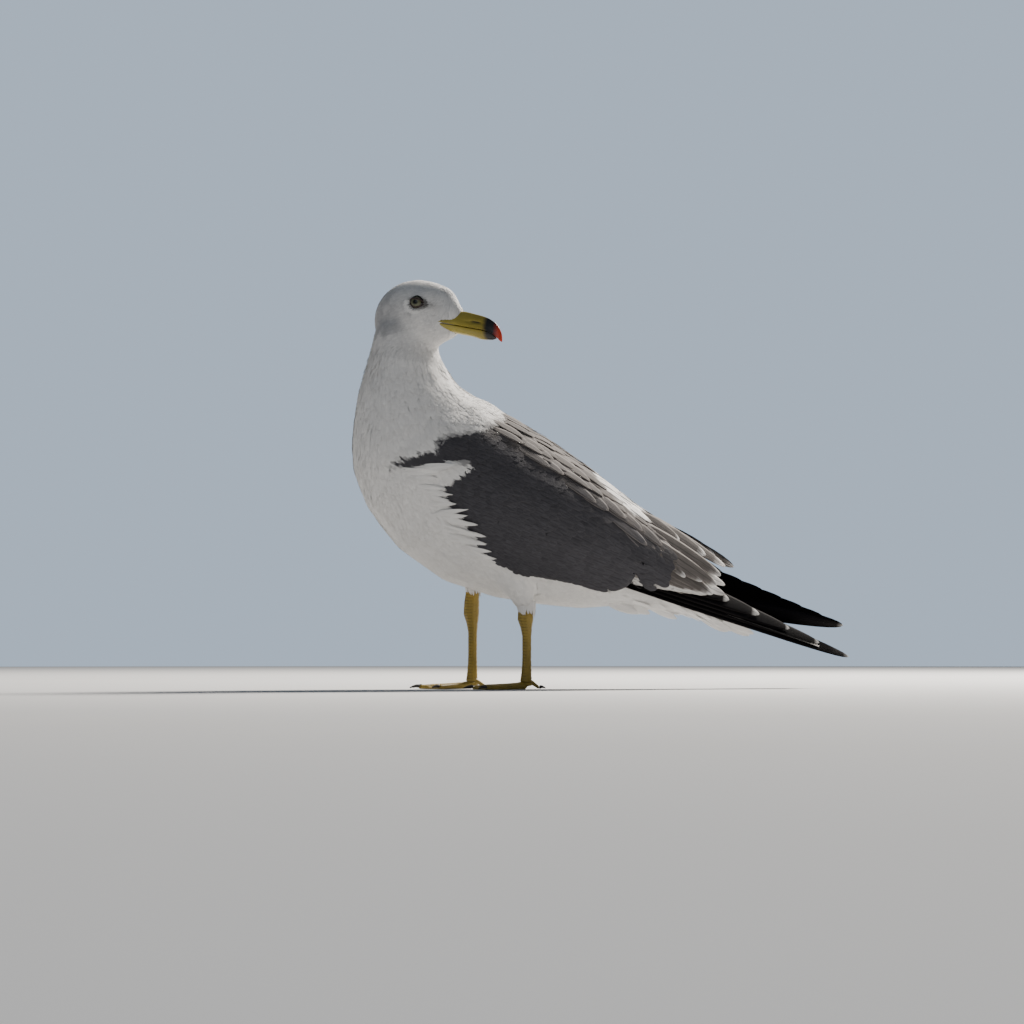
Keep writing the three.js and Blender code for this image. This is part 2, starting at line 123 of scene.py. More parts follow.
(c, s), (dip_c, dip_s) = turn_pair(HEAD_TURN), turn_pair(HEAD_DIP)
HEAD_AXES = np.array([[c, -s, 0], [s, c, 0], [0, 0, 1]])
HEAD_AXES = HEAD_AXES @ np.array([[dip_c, 0, dip_s], [0, 1, 0], [-dip_s, 0, dip_c]])


def in_head(places, mirrored=False):
    """Ahead, left and up from the middle of the head, in millimetres. mirrored lays its right side
    on its left one."""
    h = (np.asarray(places, float) - HEAD_CENTRE) @ HEAD_AXES
    if mirrored:
        h[:, 1] = np.abs(h[:, 1])
    return h


def from_head(places):
    return np.asarray(places, float) @ HEAD_AXES.T + HEAD_CENTRE


def soft_step(low, high, value):
    """0 at low and 1 at high, with an even rise between them."""
    t = np.clip((np.asarray(value, float) - low) / (high - low), 0, 1)
    return t * t * (3 - 2 * t)


def between(a, b, share):
    return a * (1 - share) + b * share


def bump_at(places, centre, radii):
    """A round swelling, 1 at its centre, that fades out at the radii."""
    return np.exp(-2.0 * (((places - np.array(centre)) / np.array(radii)) ** 2).sum(-1))


def mottle(places, size, seed):
    """Soft irregular patches of about the given size, from -1 to 1."""
    maker = np.random.default_rng(seed)
    total = np.zeros(len(places))
    for turn in range(7):
        way = maker.normal(size=3)
        way /= np.linalg.norm(way)
        pitch = size * maker.uniform(0.7, 1.6)
        total += np.sin(places @ way * (2 * math.pi / pitch) + maker.uniform(0, 6.28))
    return np.clip(total / 3.2, -1, 1)


# The coat's outer surface is settled first: the feathers end on it.
skin = smooth_form("skin", SKIN_PARTS + ["eye_left", "eye_right"], SKIN_GRID, 14)
form_places, form_normals = read_rows(skin, "co") / MM, read_rows(skin, "normal")
side = in_head(form_places, mirrored=True)
from_middle = np.linalg.norm(side, axis=1)
relief = (
    -1.5 * bump_at(side, EYE_PLACE + (0.5, 6, 0), (8, 9, 6.5))  # eye socket
    + 0.9 * bump_at(side, (14, 17, 18.5), (10, 8, 4))  # brow
    - 1.0 * bump_at(side, (27, 11, 5), (8, 6, 5))  # lore, between the eye and the bill
    + 0.9 * bump_at(side, (4, 20, -6), (12, 8, 9))  # cheek
    + 2.3 * bump_at(side, (28, 0, 20), (16, 13, 13))  # forehead
    + 2.0 * bump_at(side, (40, 6, 7.5), (7, 7, 6.5))  # feathered sides of the bill's base
    + 2.4 * bump_at(side, (31, 0, -8), (8, 7, 4))  # feathered chin
    + 0.9 * bump_at(side, (24, 12, -4), (6, 5, 4))  # below the corner of the mouth
)
relief *= (side[:, 2] > -40) & (from_middle < 55)
lumps = 0.5 * mottle(form_places, 19, 5) + 0.28 * mottle(form_places, 9, 6)
lumps *= soft_step(36, 60, from_middle) * soft_step(100, 125, form_places[:, 2])
ruffled = 1.1 * mottle(form_places, 15, 15) * bump_at(form_places, (-126, -12, 232), (34, 36, 34))
form_places = form_places + form_normals * (relief + lumps + ruffled - 0.25)[:, None]
move_corners(skin, form_places)


class Surface:
    """A closed surface that places can be laid back onto."""

    def __init__(self, piece):
        self.places, self.normals = read_rows(piece, "co") / MM, read_rows(piece, "normal")
        piece.data.calc_loop_triangles()
        tris = np.empty(len(piece.data.loop_triangles) * 3, np.int32)
        piece.data.loop_triangles.foreach_get("vertices", tris)
        self.tris = tris.reshape(-1, 3)
        self.tree = BVHTree.FromPolygons(self.places.tolist(), self.tris.tolist())

    def lay(self, places):
        """The nearest place on the surface and its smooth direction, for many places."""
        hits = [self.tree.find_nearest(place) for place in places.tolist()]
        found = np.array([hit[0] for hit in hits])
        corners = self.tris[[hit[2] for hit in hits]]
        a, b, c = (self.places[corners[:, k]] for k in range(3))
        v0, v1, v2 = b - a, c - a, found - a
        d00, d01, d11 = (v0 * v0).sum(1), (v0 * v1).sum(1), (v1 * v1).sum(1)
        d20, d21 = (v2 * v0).sum(1), (v2 * v1).sum(1)
        scale = np.maximum(d00 * d11 - d01 * d01, 1e-12)
        v = np.clip((d11 * d20 - d01 * d21) / scale, 0, 1)
        w = np.clip((d00 * d21 - d01 * d20) / scale, 0, 1)
        shares = np.stack([1 - v - w, v, w], 1)[:, :, None]
        return found, unit((self.normals[corners] * shares).sum(1))

    def scatter(self, gap, seed, keep, rows=None):
        """Seeded even scatter of places, at least gap(place) apart, where keep(place) holds. rows is
        a direction and how many times further apart the places stand along it."""
        maker = np.random.default_rng(seed)
        a, b, c = (self.places[self.tris[:, k]] for k in range(3))
        areas = np.linalg.norm(np.cross(b - a, c - a), axis=1) / 2
        middles = (a + b + c) / 3
        weight = np.where(keep(middles), areas / gap(middles) ** 2, 0)
        count = int(weight.sum() * 5)
        faces = maker.choice(len(areas), count, p=weight / weight.sum())
        r1, r2 = np.sqrt(maker.random(count))[:, None], maker.random(count)[:, None]
        places = a[faces] * (1 - r1) + b[faces] * (r1 * (1 - r2)) + c[faces] * (r1 * r2)
        gaps = gap(places)
        measure = places
        if rows:
            way = np.array(rows[0]) / np.linalg.norm(rows[0])
            measure = places - (places @ way)[:, None] * way * (1 - 1 / rows[1])
        keys = np.floor(measure / float(gaps.max())).astype(int).tolist()
        around = [(i, j, k) for i in (-1, 0, 1) for j in (-1, 0, 1) for k in (-1, 0, 1)]
        cells, kept = {}, []
        drawn = zip(keys, measure.tolist(), (gaps**2).tolist())
        for n, ((x, y, z), (px, py, pz), least) in enumerate(drawn):
            if not any(
                (px - qx) ** 2 + (py - qy) ** 2 + (pz - qz) ** 2 < least
                for i, j, k in around
                for qx, qy, qz in cells.get((x + i, y + j, z + k), ())
            ):
                cells.setdefault((x, y, z), []).append((px, py, pz))
                kept.append(n)
        return places[kept]


coat = Surface(skin)
coat.normals = form_normals


def coat_depth(places):
    """How thick the feathers lie: thin on the face, thick on the breast, in millimetres."""
    return 0.7 + 0.9 * soft_step(22, 60, np.linalg.norm(in_head(places) - (10, 0, 2), axis=1))


move_corners(skin, form_places - form_normals * coat_depth(form_places)[:, None])
shape_with(skin, "SMOOTH", factor=0.5, iterations=3)


def to_linear(hex_colour):
    """An sRGB hex value as linear red, green and blue."""
    parts = [int(hex_colour[i : i + 2], 16) / 255 for i in (1, 3, 5)]
    return np.array([p / 12.92 if p <= 0.04045 else ((p + 0.055) / 1.055) ** 2.4 for p in parts])


WHITE = to_linear("#ebe9e6")
DUSKY = to_linear("#77777c")
# SLATE is darker than the bird's own slate, as painted shade on the side of the wing that faces away from
# the lamp. WORN_AND_LIT_SLATE, the paler brownish slate of the upper feathers, is partly real wear and
# partly painted light on the lit top of the back.
SLATE = to_linear("#454448")
WORN_AND_LIT_SLATE = to_linear("#615c59")
SOOT = to_linear("#0d0c0f")
ORBIT = to_linear("#2f2a27")
# The wing's edge on the bird's side, as lengthways and height, in the body's own measures.
WING_EDGE = np.array([
    (0, 238), (-10, 210), (-34, 199), (-58, 195), (-65, 188), (-65, 182), (-84, 177), (-97, 171),
    (-84, 168.5), (-62, 170), (-43, 168.6), (-53, 162), (-62, 155), (-61, 143), (-47, 128),
    (-33, 112), (-14, 96), (4, 88), (28, 84), (52, 80), (76, 73), (92, 75), (120, 74), (160, 60),
    (260, 40), (260, 240),
], float)
# The white crescent of the shoulder feathers, measured the same way.
CRESCENT = np.array([
    (72, 160), (83, 146), (95, 136), (114, 127.5), (114, 140), (105, 155), (93, 169), (80, 178),
], float)


def inside_outline(points, outline):
    """Signed distance to a closed outline: positive inside."""
    x, y = points[:, 0], points[:, 1]
    inside = np.zeros(len(points), bool)
    nearest = np.full(len(points), 1e9)
    for (x1, y1), (x2, y2) in zip(outline, np.roll(outline, -1, 0)):
        inside ^= ((y1 > y) != (y2 > y)) & (x < (x2 - x1) * (y - y1) / (y2 - y1 + 1e-12) + x1)
        edge = np.array([x2 - x1, y2 - y1])
        t = np.clip(((x - x1) * edge[0] + (y - y1) * edge[1]) / (edge @ edge), 0, 1)
        nearest = np.minimum(nearest, np.hypot(x - x1 - t * edge[0], y - y1 - t * edge[1]))
    return np.where(inside, nearest, -nearest)


def side_view(places):
    """Lengthways and height, in the body's own measures."""
    return (places - BODY_SHIFT)[:, [0, 2]].T


def below_shoulder(places):
    """Distance below the lower border of the shoulder feathers."""
    x, z = side_view(places)
    return (206 - z) - 0.62 * (x + 10)


def under_edge(places):
    """1 along the lower edge of the folded wing, which lies over the belly feathers."""
    x, z = side_view(places)
    return soft_step(-34, -20, x) * soft_step(120, 106, z)


def wing_reach(places):
    """Distance inside the folded wing and mantle: positive on slate feathers."""
    reach = inside_outline(side_view(places).T, WING_EDGE)
    beneath = np.abs(places[:, 1] - BODY_SHIFT[1]) < 26
    return np.where(beneath & (places[:, 2] < 110), -20, reach)


def markings(places, further=0.0):
    """The bird's colours by place, shared by its skin and its feathers. Slate feathers reach
    further out than their roots, and white ones lie over them."""
    side = in_head(places, mirrored=True)
    on_face = (np.linalg.norm(side, axis=1) < 40) * 1.0
    rough, fine = mottle(places, 9, 3), mottle(places, 3.5, 4)
    dusk = (
        1.1 * bump_at(side, (-8, 24, -8), (30, 24, 23))
        + 0.75 * bump_at(side, (-25, 10, -2), (21, 22, 24))
        + 0.45 * bump_at(side, (-14, 16, 13), (20, 20, 17))
        + 0.12 * bump_at(side, (6, 0, 27), (26, 20, 8))
    )
    dusk *= 1 + 0.25 * rough + 0.22 * fine
    dusk *= soft_step(-19, -10, places[:, 2] - HEAD_CENTRE[2] + 1.5 * rough)
    hind = bump_at(places, (-122, 3, 236), (20, 26, 24)) * (0.28 + 0.5 * (fine > 0.35))
    dusk = 0.8 * (1 - np.exp(-1.25 * np.clip(dusk + 0.35 * hind, 0, 2)))
    # dark feathers round the eye and ahead of it, and a pale arc below and behind
    ahead, _, above = (side - (EYE_PLACE + (2.6, 5, 0.2))).T
    ring = soft_step(6.9, 5.0, np.hypot(ahead * 0.74, (above - 0.3) * 1.16)) * on_face
    front = bump_at(side, EYE_PLACE + (11.5, 3, 0.4), (8.0, 9, 3.8))
    behind = bump_at(side, EYE_PLACE + (-4.5, 5, 0.6), (5.0, 9, 1.3))
    orbit = np.clip(ring * 0.62 + 0.66 * front * (1 + 0.3 * fine) + 0.35 * behind, 0, 0.85)
    pale = soft_step(1.7, 0.6, np.abs(np.hypot((ahead + 0.6) * 0.82, above + 0.2) - 6.6)) * on_face
    pale *= soft_step(0.6, -1.2, above + 0.25 * ahead) * soft_step(6.0, 1.5, ahead)
    near_eye = 0.18 + 0.32 * bump_at(side, EYE_PLACE + (-1.0, 6, -4), (11, 12, 9))
    dusk = np.maximum(dusk, near_eye * on_face * (1 + 0.4 * fine)) * (1 - pale)
    # slate wings and mantle, with a sharper border on the thin front point of the wing
    x, z = side_view(places)
    reach = wing_reach(places) + further * soft_step(196, 184, z) * soft_step(-66, -60, x)
    border = np.where(x < -62, 1.3, 1.6 + 4.4 * soft_step(182, 198, z) + 5.0 * soft_step(198, 216, z))
    uneven = np.where(x < -62, 0.3, 0.7) * (rough + 0.6 * fine)
    slate = soft_step(-1, 1, (reach + uneven - 0.5 * (border - 1.6)) / border)
    crescent = inside_outline(np.stack([x, z], 1), CRESCENT) + 0.8 * rough + 0.5 * fine
    off_middle = np.abs(places[:, 1] - BODY_SHIFT[1])  # there is one crescent on each side
    slate = (slate * (1 - soft_step(-1.0, 1.2, crescent) * soft_step(3, 8, off_middle)))[:, None]
    # paler above the shoulder line: partly worn feathers, partly painted light where the top of the back
    # faces the lamp
    worn = soft_step(26, 2, below_shoulder(places) + 5 * rough)[:, None]
    colour = between(between(WHITE, DUSKY, dusk[:, None]), ORBIT, (orbit * (1 - pale))[:, None])
    return between(colour, between(SLATE, WORN_AND_LIT_SLATE, worn), slate)


def paint_corners(piece, colours, fringe=1.0):
    """Stores one linear colour for each corner of the mesh, and how pale its feather's edge is."""
    layer = piece.data.color_attributes.new("Plumage", "FLOAT_COLOR", "POINT")
    rows = np.concatenate([colours, np.broadcast_to(fringe, len(colours))[:, None]], 1)
    layer.data.foreach_set("color", rows.astype(np.float32).ravel())


def fill_inputs(tree, node, inputs):
    """Fills a node's inputs by name or number, from sockets, hex colours or plain values."""
    for key, value in inputs.items():
        socket = node.inputs[int(key[1:]) if key[1:].isdigit() else key.replace("_", " ")]
        if isinstance(value, bpy.types.NodeSocket):
            tree.links.new(value, socket)
        else:
            socket.default_value = (*to_linear(value), 1) if isinstance(value, str) else value


def add_node(tree, kind, settings=None, out=0, **inputs):
    """Adds one node with its settings and links, and gives one of its outputs."""
    node = tree.nodes.new("ShaderNode" + kind)
    for key, value in (settings or {}).items():
        setattr(node, key, value)
    fill_inputs(tree, node, inputs)
    return None if out is None else node.outputs[out]


class Paint:
    """A node material with its main shader, and short ways to add to it."""

    def __init__(self, name):
        self.material = bpy.data.materials.new(name)
        self.material.use_nodes = True
        self.tree = self.material.node_tree
        self.tree.nodes.clear()
        self.shader = self.add("BsdfPrincipled").node
        self.add("OutputMaterial", out=None, Surface=self.shader.outputs["BSDF"])

    def add(self, kind, settings=None, out=0, **inputs):
        return add_node(self.tree, kind, settings, out, **inputs)

    def sum(self, operation, *values):
        inputs = {f"i{k}": value for k, value in enumerate(values)}
        return self.add("Math", {"operation": operation}, **inputs)

    def level(self, value, low=0.0, high=1.0, **inputs):
        return self.add("MapRange", Value=value, To_Min=low, To_Max=high, **inputs)

    def noise(self, size, detail=2.0, **inputs):
        """Soft noise with lumps of a size in millimetres."""
        place = self.add("TexCoord", out="Object")
        return self.add("TexNoise", Vector=place, Scale=1 / (size * MM), Detail=detail, **inputs)

    def mix(self, share, first, second):
        return self.add("Mix", {"data_type": "RGBA"}, 2, i0=share, i6=first, i7=second)

    def scaled(self, colour, by):
        return self.add("VectorMath", {"operation": "SCALE"}, i0=colour, Scale=by)

    def bump(self, height, strength, depth):
        return self.add("Bump", Height=height, Strength=strength, Distance=depth * MM)

    def read(self, name, out="Fac"):
        return self.add("Attribute", {"attribute_name": name}, out)

    def axes(self, vector):
        return self.add("SeparateXYZ", Vector=vector).node.outputs[:2]

    def bands(self, value, *stops):
        """Colours along a value, each as a place from 0 to 1 and a hex colour, in order."""
        colour = self.add("ValToRGB", Fac=value)
        elements = colour.node.color_ramp.elements
        while len(elements) < len(stops):
            elements.new(1.0)
        for element, (at, tint) in zip(elements, stops):
            element.position, element.color = at, (*to_linear(tint), 1)
        return colour

    def finish(self, **inputs):
        fill_inputs(self.tree, self.shader, inputs)
        return self.material


# Bird skin under the coat: soft and matt, with the roots' fine grain every 1.2 mm.
paint = Paint("bird_skin")
grain = paint.noise(1.2)
skin_material = paint.finish(
    Base_Color=paint.scaled(paint.read("Plumage", "Color"), paint.level(grain, 0.86, 1.06)),
    Normal=paint.bump(grain, 0.4, 0.3), Roughness=0.9,
)


def mark_corners(piece, name, values):
    """Stores one number for each corner of the mesh."""
    layer = piece.data.attributes.new(name, "FLOAT", "POINT")
    layer.data.foreach_set("value", values.astype(np.float32))


def finish_piece(piece, material, slot, *replaced):
    """Gives a piece its material, the body it rides on and the solids that it replaces. slot is not used."""
    piece.data.materials.clear()
    piece.data.materials.append(material)
    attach(piece, "root")
    if replaced:
        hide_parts(*replaced)


paint_corners(skin, markings(form_places))
finish_piece(skin, skin_material, "white_plumage", *SKIN_PARTS)


# ---------- Body feathers ----------
# Small soft feathers cover the skin from the face to the vent. Each is a thin vane whose barbs part
# into three points. They overlap like thatch and lie back from the bill, short on the face and long
# on the flanks.
SPINE = np.array([(-157, 270), (-154, 225), (-140, 182), (-93, 136), (-26, 102), (54, 74), (130, 45)], float)


def thigh_share(places):
    """1 on the feathered thighs, where the feathers run down to the shank."""
    share = np.zeros(len(places))
    for x, y in ((17, -25), (-12.5, 25)):
        away = np.hypot(*(places - BODY_SHIFT - (x - 4, y, 0))[:, :2].T)
        share = np.maximum(share, soft_step(24, 14, away) * soft_step(92, 76, places[:, 2]))
    return share


def lie_of_coat(places, normals):
    """The way the feathers point at each place, along the surface."""
    way = np.zeros((len(places), 3))
    flat = places[:, [0, 2]]
    for (x1, z1), (x2, z2) in zip(SPINE[:-1], SPINE[1:]):
        edge = np.array([x2 - x1, z2 - z1])
        t = np.clip(((flat - (x1, z1)) @ edge) / (edge @ edge), 0, 1)
        near = np.hypot(flat[:, 0] - x1 - t * edge[0], flat[:, 1] - z1 - t * edge[1])
        edge = edge / np.linalg.norm(edge)
        way += (1 / (near + 4) ** 4)[:, None] * np.array([edge[0], 0, edge[1]])
    x, z = side_view(places)
    high = soft_step(90, 210, z + 0.55 * (x - 20))
    on_wing = unit(np.stack([np.ones(len(places)), np.zeros(len(places)), -0.34 - 0.3 * high], 1))
    way = unit(between(unit(way), on_wing, soft_step(-8, 4, wing_reach(places))[:, None]))
    way = between(way, np.array([0.4, 0, -0.92]), thigh_share(places)[:, None])
    on_head = unit(-HEAD_AXES[:, 0] * 0.9 - HEAD_AXES[:, 2] * 0.42 + np.array([0, 0, -0.12]))
    from_middle = np.linalg.norm(in_head(places), axis=1)
    way = between(way, on_head, soft_step(46, 26, from_middle)[:, None])
    return unit(way - normals * (way * normals).sum(1, keepdims=True))


def turned(ways, normals, angles):
    """Directions turned a little within the surface."""
    angles = angles[:, None]
    return unit(ways * np.cos(angles) + np.cross(normals, ways) * np.sin(angles))


def closed_piece(name, places, faces, material, slot, replaced=()):
    """A finished mesh piece from places in millimetres and rows of corner numbers."""
    mesh = bpy.data.meshes.new(name)
    mesh.vertices.add(len(places))
    mesh.vertices.foreach_set("co", (places * MM).astype(np.float32).ravel())
    sizes = np.array([len(block[0]) for block in faces for _ in range(len(block))], np.int32)
    corners = np.concatenate([np.asarray(block, np.int32).ravel() for block in faces])
    mesh.loops.add(len(corners))
    mesh.loops.foreach_set("vertex_index", corners)
    mesh.polygons.add(len(sizes))
    starts = np.concatenate([[0], np.cumsum(sizes)[:-1]]).astype(np.int32)
    mesh.polygons.foreach_set("loop_start", starts)
    mesh.polygons.foreach_set("loop_total", sizes)
    mesh.update(calc_edges=True)
    mesh.polygons.foreach_set("use_smooth", np.ones(len(sizes), bool))
    piece = bpy.data.objects.new(name, mesh)
    bpy.context.scene.collection.objects.link(piece)
    finish_piece(piece, material, slot, *replaced)
    return piece


def on_each(faces, corners, count):
    """The faces of one feather, by corner numbers, for each of many feathers."""
    first = (np.arange(count) * corners)[:, None, None]
    return (np.array(faces)[None] + first).reshape(-1, len(faces[0]))


def set_map(piece, name, per_corner):
    """A UV map from one pair of numbers for each mesh corner."""
    loops = np.empty(len(piece.data.loops), np.int32)
    piece.data.loops.foreach_get("vertex_index", loops)
    layer = piece.data.uv_layers.new(name=name)
    layer.data.foreach_set("uv", per_corner[loops].astype(np.float32).ravel())


# One tuft: rows (along, across, height) and its faces, root at 0 and tip at 1.
TUFT_ROWS = [(0.0, 0.45), (0.4, 1.0), (0.74, 0.9)]
TUFT = np.array(
    [(t, s * w, 0.0) for t, w in TUFT_ROWS for s in (-1, -0.36, 0.36, 1)]
    + [(t, 0.0, -1.0) for t, w in TUFT_ROWS]
    + [(0.93, -0.78, 0.0), (1.0, 0.05, 0.0), (0.9, 0.8, 0.0)]
)
TUFT_FACES = (
    [(r * 4 + k, r * 4 + k + 1, r * 4 + k + 5, r * 4 + k + 4) for r in (0, 1) for k in range(3)]
    + [(r * 4 + 3, 12 + r, 13 + r, r * 4 + 7) for r in (0, 1)]
    + [(12 + r, r * 4, r * 4 + 4, 13 + r) for r in (0, 1)]
)
TUFT_ENDS = [
    (8, 9, 15), (9, 10, 16), (10, 11, 17), (8, 15, 14), (15, 9, 14), (9, 16, 14), (16, 10, 14),
    (10, 17, 14), (17, 11, 14), (0, 12, 1), (1, 12, 2), (2, 12, 3),
]
FACE_TUFT = np.array([
    (0, -0.5, 0), (0, 0, 0.3), (0, 0.5, 0), (0, 0, -1), (0.55, -1, 0), (0.55, 0, 0.35),
    (0.55, 1, 0), (0.55, 0, -1), (1, 0, 0),
], float)
FACE_TUFT_FACES = [(0, 1, 5, 4), (1, 2, 6, 5), (2, 3, 7, 6), (3, 0, 4, 7)]
FACE_TUFT_ENDS = [(4, 5, 8), (5, 6, 8), (6, 7, 8), (7, 4, 8), (0, 3, 1), (1, 3, 2)]


def soften(piece, ways, share):
    """Turns the shading of thin tufts towards the coat's own surface, as soft barbs do."""
    own = read_rows(piece, "normal")
    under = (own * ways).sum(1) < -0.2
    mixed = unit(between(own, ways, share))
    mixed[under] = own[under]
    piece.data.normals_split_custom_set_from_vertices(mixed.tolist())


def fill_map(places):
    """Stretches a map to fill its square."""
    low, high = places.min(0), places.max(0)
    return 0.01 + 0.98 * (places - low) / (high - low)


def round_unwrap(centre_line, low, high):
    """Unwraps a body region lengthways: the turn about a line, and the distance along it."""
    start, end = (np.array(p, float) for p in centre_line)
    axis = unit((end - start)[None])[0]
    side = unit(np.cross(axis, [0, 1, 0.001])[None])[0]
    other = np.cross(axis, side)

    def unwrap(places):
        off = places - start
        u = np.arctan2(off @ side, off @ other) / (2 * math.pi) + 0.5
        v = (off @ axis - low) / (high - low)
        return np.stack([0.01 + 0.98 * u, 0.01 + 0.98 * np.clip(v, 0, 1)], 1)

    return unwrap


# Contour feathers: keratin barbs, matt and slightly translucent. Barbs lie 0.45 mm apart.
def feather_paint(name, roughness, sheen, streak):
    """The feather's paint, and its colour and barb map for more to be added."""
    paint = Paint(name)
    vane = paint.add("UVMap", {"uv_map": "Vane"})
    x, y = paint.axes(vane)
    slant = paint.sum("MULTIPLY_ADD", paint.sum("ABSOLUTE", x), -1.3, y)
    wave = paint.sum("SINE", paint.sum("MULTIPLY", slant, 2 * math.pi / 0.045))
    tone = paint.level(wave, 1 - streak, 1 + streak, From_Min=-1.0)
    uneven = paint.level(paint.add("TexNoise", Vector=vane, Scale=22.0, Detail=2.0), 0.88, 1.1)
    base = paint.scaled(paint.read("Plumage", "Color"), paint.sum("MULTIPLY", tone, uneven))
    paint.finish(
        Base_Color=base, Normal=paint.bump(wave, 0.25, 0.06), Roughness=roughness,
        Sheen_Weight=sheen, Sheen_Roughness=0.5, Specular_IOR_Level=0.25,
    )
    return paint, base, vane


soft_feather = feather_paint("soft_contour_feather", 0.85, 0.15, 0.05)[0].material


def clear_of_face(places):
    """Whether a place carries feathers: not on the eyes, nor where the bill is."""
    ahead, out, above = in_head(places, mirrored=True).T
    bare = (np.hypot(ahead - EYE_PLACE[0], (above - EYE_PLACE[2]) * 1.2) < 4.9) & (out > 8)
    on_bill = ahead > 21
    ahead = np.clip(ahead, 21, 60)
    top = np.interp(ahead, (21, 35, 46, 56), (3.0, 7.8, 9.5, 8.7))
    bottom = np.interp(ahead, (21, 35, 48, 58), (-5.4, -7.2, -7.9, -8.3))
    wide = np.interp(ahead, (21, 35, 46, 56), (10.4, 9.2, 6.7, 5.4))
    middle, high = (top + bottom) / 2, (top - bottom) / 2
    return ~bare & ~(((out / wide) ** 2 + ((above - middle) / high) ** 2 < 0.95) & on_bill)


def head_share(places):
    return soft_step(58, 30, np.linalg.norm(in_head(places) - (0, 0, 2), axis=1))


def face_shares(places, brow):
    """Shares of the head, of the face ahead of the brow, and of the ring of small feathers by the
    eye."""
    side = in_head(places, mirrored=True)
    head = head_share(places)
    by_eye = bump_at(side, EYE_PLACE + (0, 5, 0), (11, 12, 10))
    return head, soft_step(-8, brow, side[:, 0]) * head, by_eye


def tuft_gap(places):
    head, face, by_eye = face_shares(places, 20)
    return (1.6 - 0.62 * head - 0.16 * face) * (1 - 0.25 * by_eye)


def tuft_sizes(places):
    """Length, half width, lift of the tip and depth of the root."""
    head, face, by_eye = face_shares(places, 22)
    low = soft_step(105, 80, places[:, 2])
    loose = bump_at(places, (-184, 0, 252), (12, 34, 18))
    loose += 0.8 * thigh_share(places) * soft_step(76, 66, places[:, 2])
    length = (10.5 - 5.9 * head - 1.6 * face - 1.5 * low * (1 - head) + 2.5 * loose) * (1 - 0.5 * by_eye)
    half = (1.4 - 0.45 * head - 0.22 * face - 0.3 * loose) * (1 - 0.25 * by_eye)
    lift = 0.16 - 0.05 * head - 0.04 * face + 1.7 * loose
    return length, half, lift, coat_depth(places) * 0.4


def white_share(places):
    """Where body feathers grow: up to the wing, over its front edge, and on its thin front point."""
    x, _ = side_view(places)
    limit = 2 + 2 * (places[:, 2] > 190) - 3 * under_edge(places) + 6 * (x < -61)
    return clear_of_face(places) & (wing_reach(places) < limit)


# Each region's name, where it is, and the line that its map is turned about.
HEAD_LINE = (((-151, 0, 300), (-151, 0, 240)), -20, 60)
regions = [
    ("face_feathers", lambda p: (head_share(p) > 0.5) & (in_head(p)[:, 0] > -2), HEAD_LINE),
    ("nape_feathers", lambda p: (head_share(p) > 0.5) & (in_head(p)[:, 0] <= -2), HEAD_LINE),
    ("neck_feathers", lambda p: (head_share(p) <= 0.5) & (p[:, 2] > 205),
     (((-155, 0, 262), (-140, 0, 195)), -10, 80)),
    ("breast_feathers", lambda p: (p[:, 2] <= 205) & (p[:, 0] < -120),
     (((-160, 0, 215), (-90, 0, 110)), -20, 130)),
    ("belly_feathers", lambda p: (p[:, 2] <= 205) & (p[:, 0] >= -120) & (p[:, 0] < -40),
     (((-130, 0, 150), (-30, 0, 110)), -10, 110)),
    ("vent_feathers", lambda p: (p[:, 2] <= 205) & (p[:, 0] >= -40),
     (((-50, 0, 105), (125, 0, 50)), -10, 200)),
]
all_roots = coat.scatter(tuft_gap, 11, white_share)
for seed, (name, where, line) in enumerate(regions):
    shape, quads, triangles = TUFT, TUFT_FACES, TUFT_ENDS
    if name == "face_feathers":
        shape, quads, triangles = FACE_TUFT, FACE_TUFT_FACES, FACE_TUFT_ENDS
    maker = np.random.default_rng(20 + seed)
    roots, normals = coat.lay(all_roots[where(all_roots)])
    count = len(roots)
    length, half, lift, depth = tuft_sizes(roots)
    length = length * maker.uniform(0.82, 1.18, count)
    half = half * maker.uniform(0.85, 1.15, count)
    lift = (lift * maker.uniform(0.6, 1.4, count))[:, None]
    ways = turned(lie_of_coat(roots, normals), normals, maker.normal(0, 0.13, count))
    middle, middle_normals = coat.lay(roots + ways * (length * 0.45)[:, None])
    tips, tip_normals = coat.lay(roots + ways * length[:, None])
    start = roots - normals * depth[:, None]
    middle = middle + middle_normals * (0.10 * lift)
    tips = tips + tip_normals * lift
    t, s, high = (shape[:, k][None, :, None] for k in range(3))
    line_up = (1 - t) ** 2 * start[:, None] + 2 * t * (1 - t) * middle[:, None] + t**2 * tips[:, None]
    up = unit(between(normals[:, None], tip_normals[:, None], t))
    across = unit(np.cross(np.broadcast_to(unit(tips - start)[:, None], up.shape), up))
    wide = half[:, None, None]
    places = line_up + across * s * wide + up * (high * 0.2 - s * s * wide * 0.1)
    faces = [on_each(quads, len(shape), count), on_each(triangles, len(shape), count)]
    piece = closed_piece(name, places.reshape(-1, 3), faces, soft_feather, "white_plumage")
    tone = 1 + 0.035 * maker.normal(0, 1, count)
    # each tuft is painted up to 10% darker towards its root, as painted shade under the tufts that overlap
    # it
    colours = markings(roots, -2.5)[:, None] * tone[:, None, None] * (1 - 0.10 * (1 - t))
    paint_corners(piece, np.clip(colours, 0.004, 0.95).reshape(-1, 3))
    patch = np.stack([shape[:, 1] * 0.0014, (shape[:, 0] - 0.5) * 0.003], 1)
    patch = fill_map(round_unwrap(*line)(roots))[:, None] + patch
    set_map(piece, "OFBake", patch.reshape(-1, 2))
    vane = np.concatenate([s * wide, (t - 1) * length[:, None, None]], -1) * 0.1
    set_map(piece, "Vane", vane.reshape(-1, 2))
    soften(piece, up.reshape(-1, 3), 0.88)


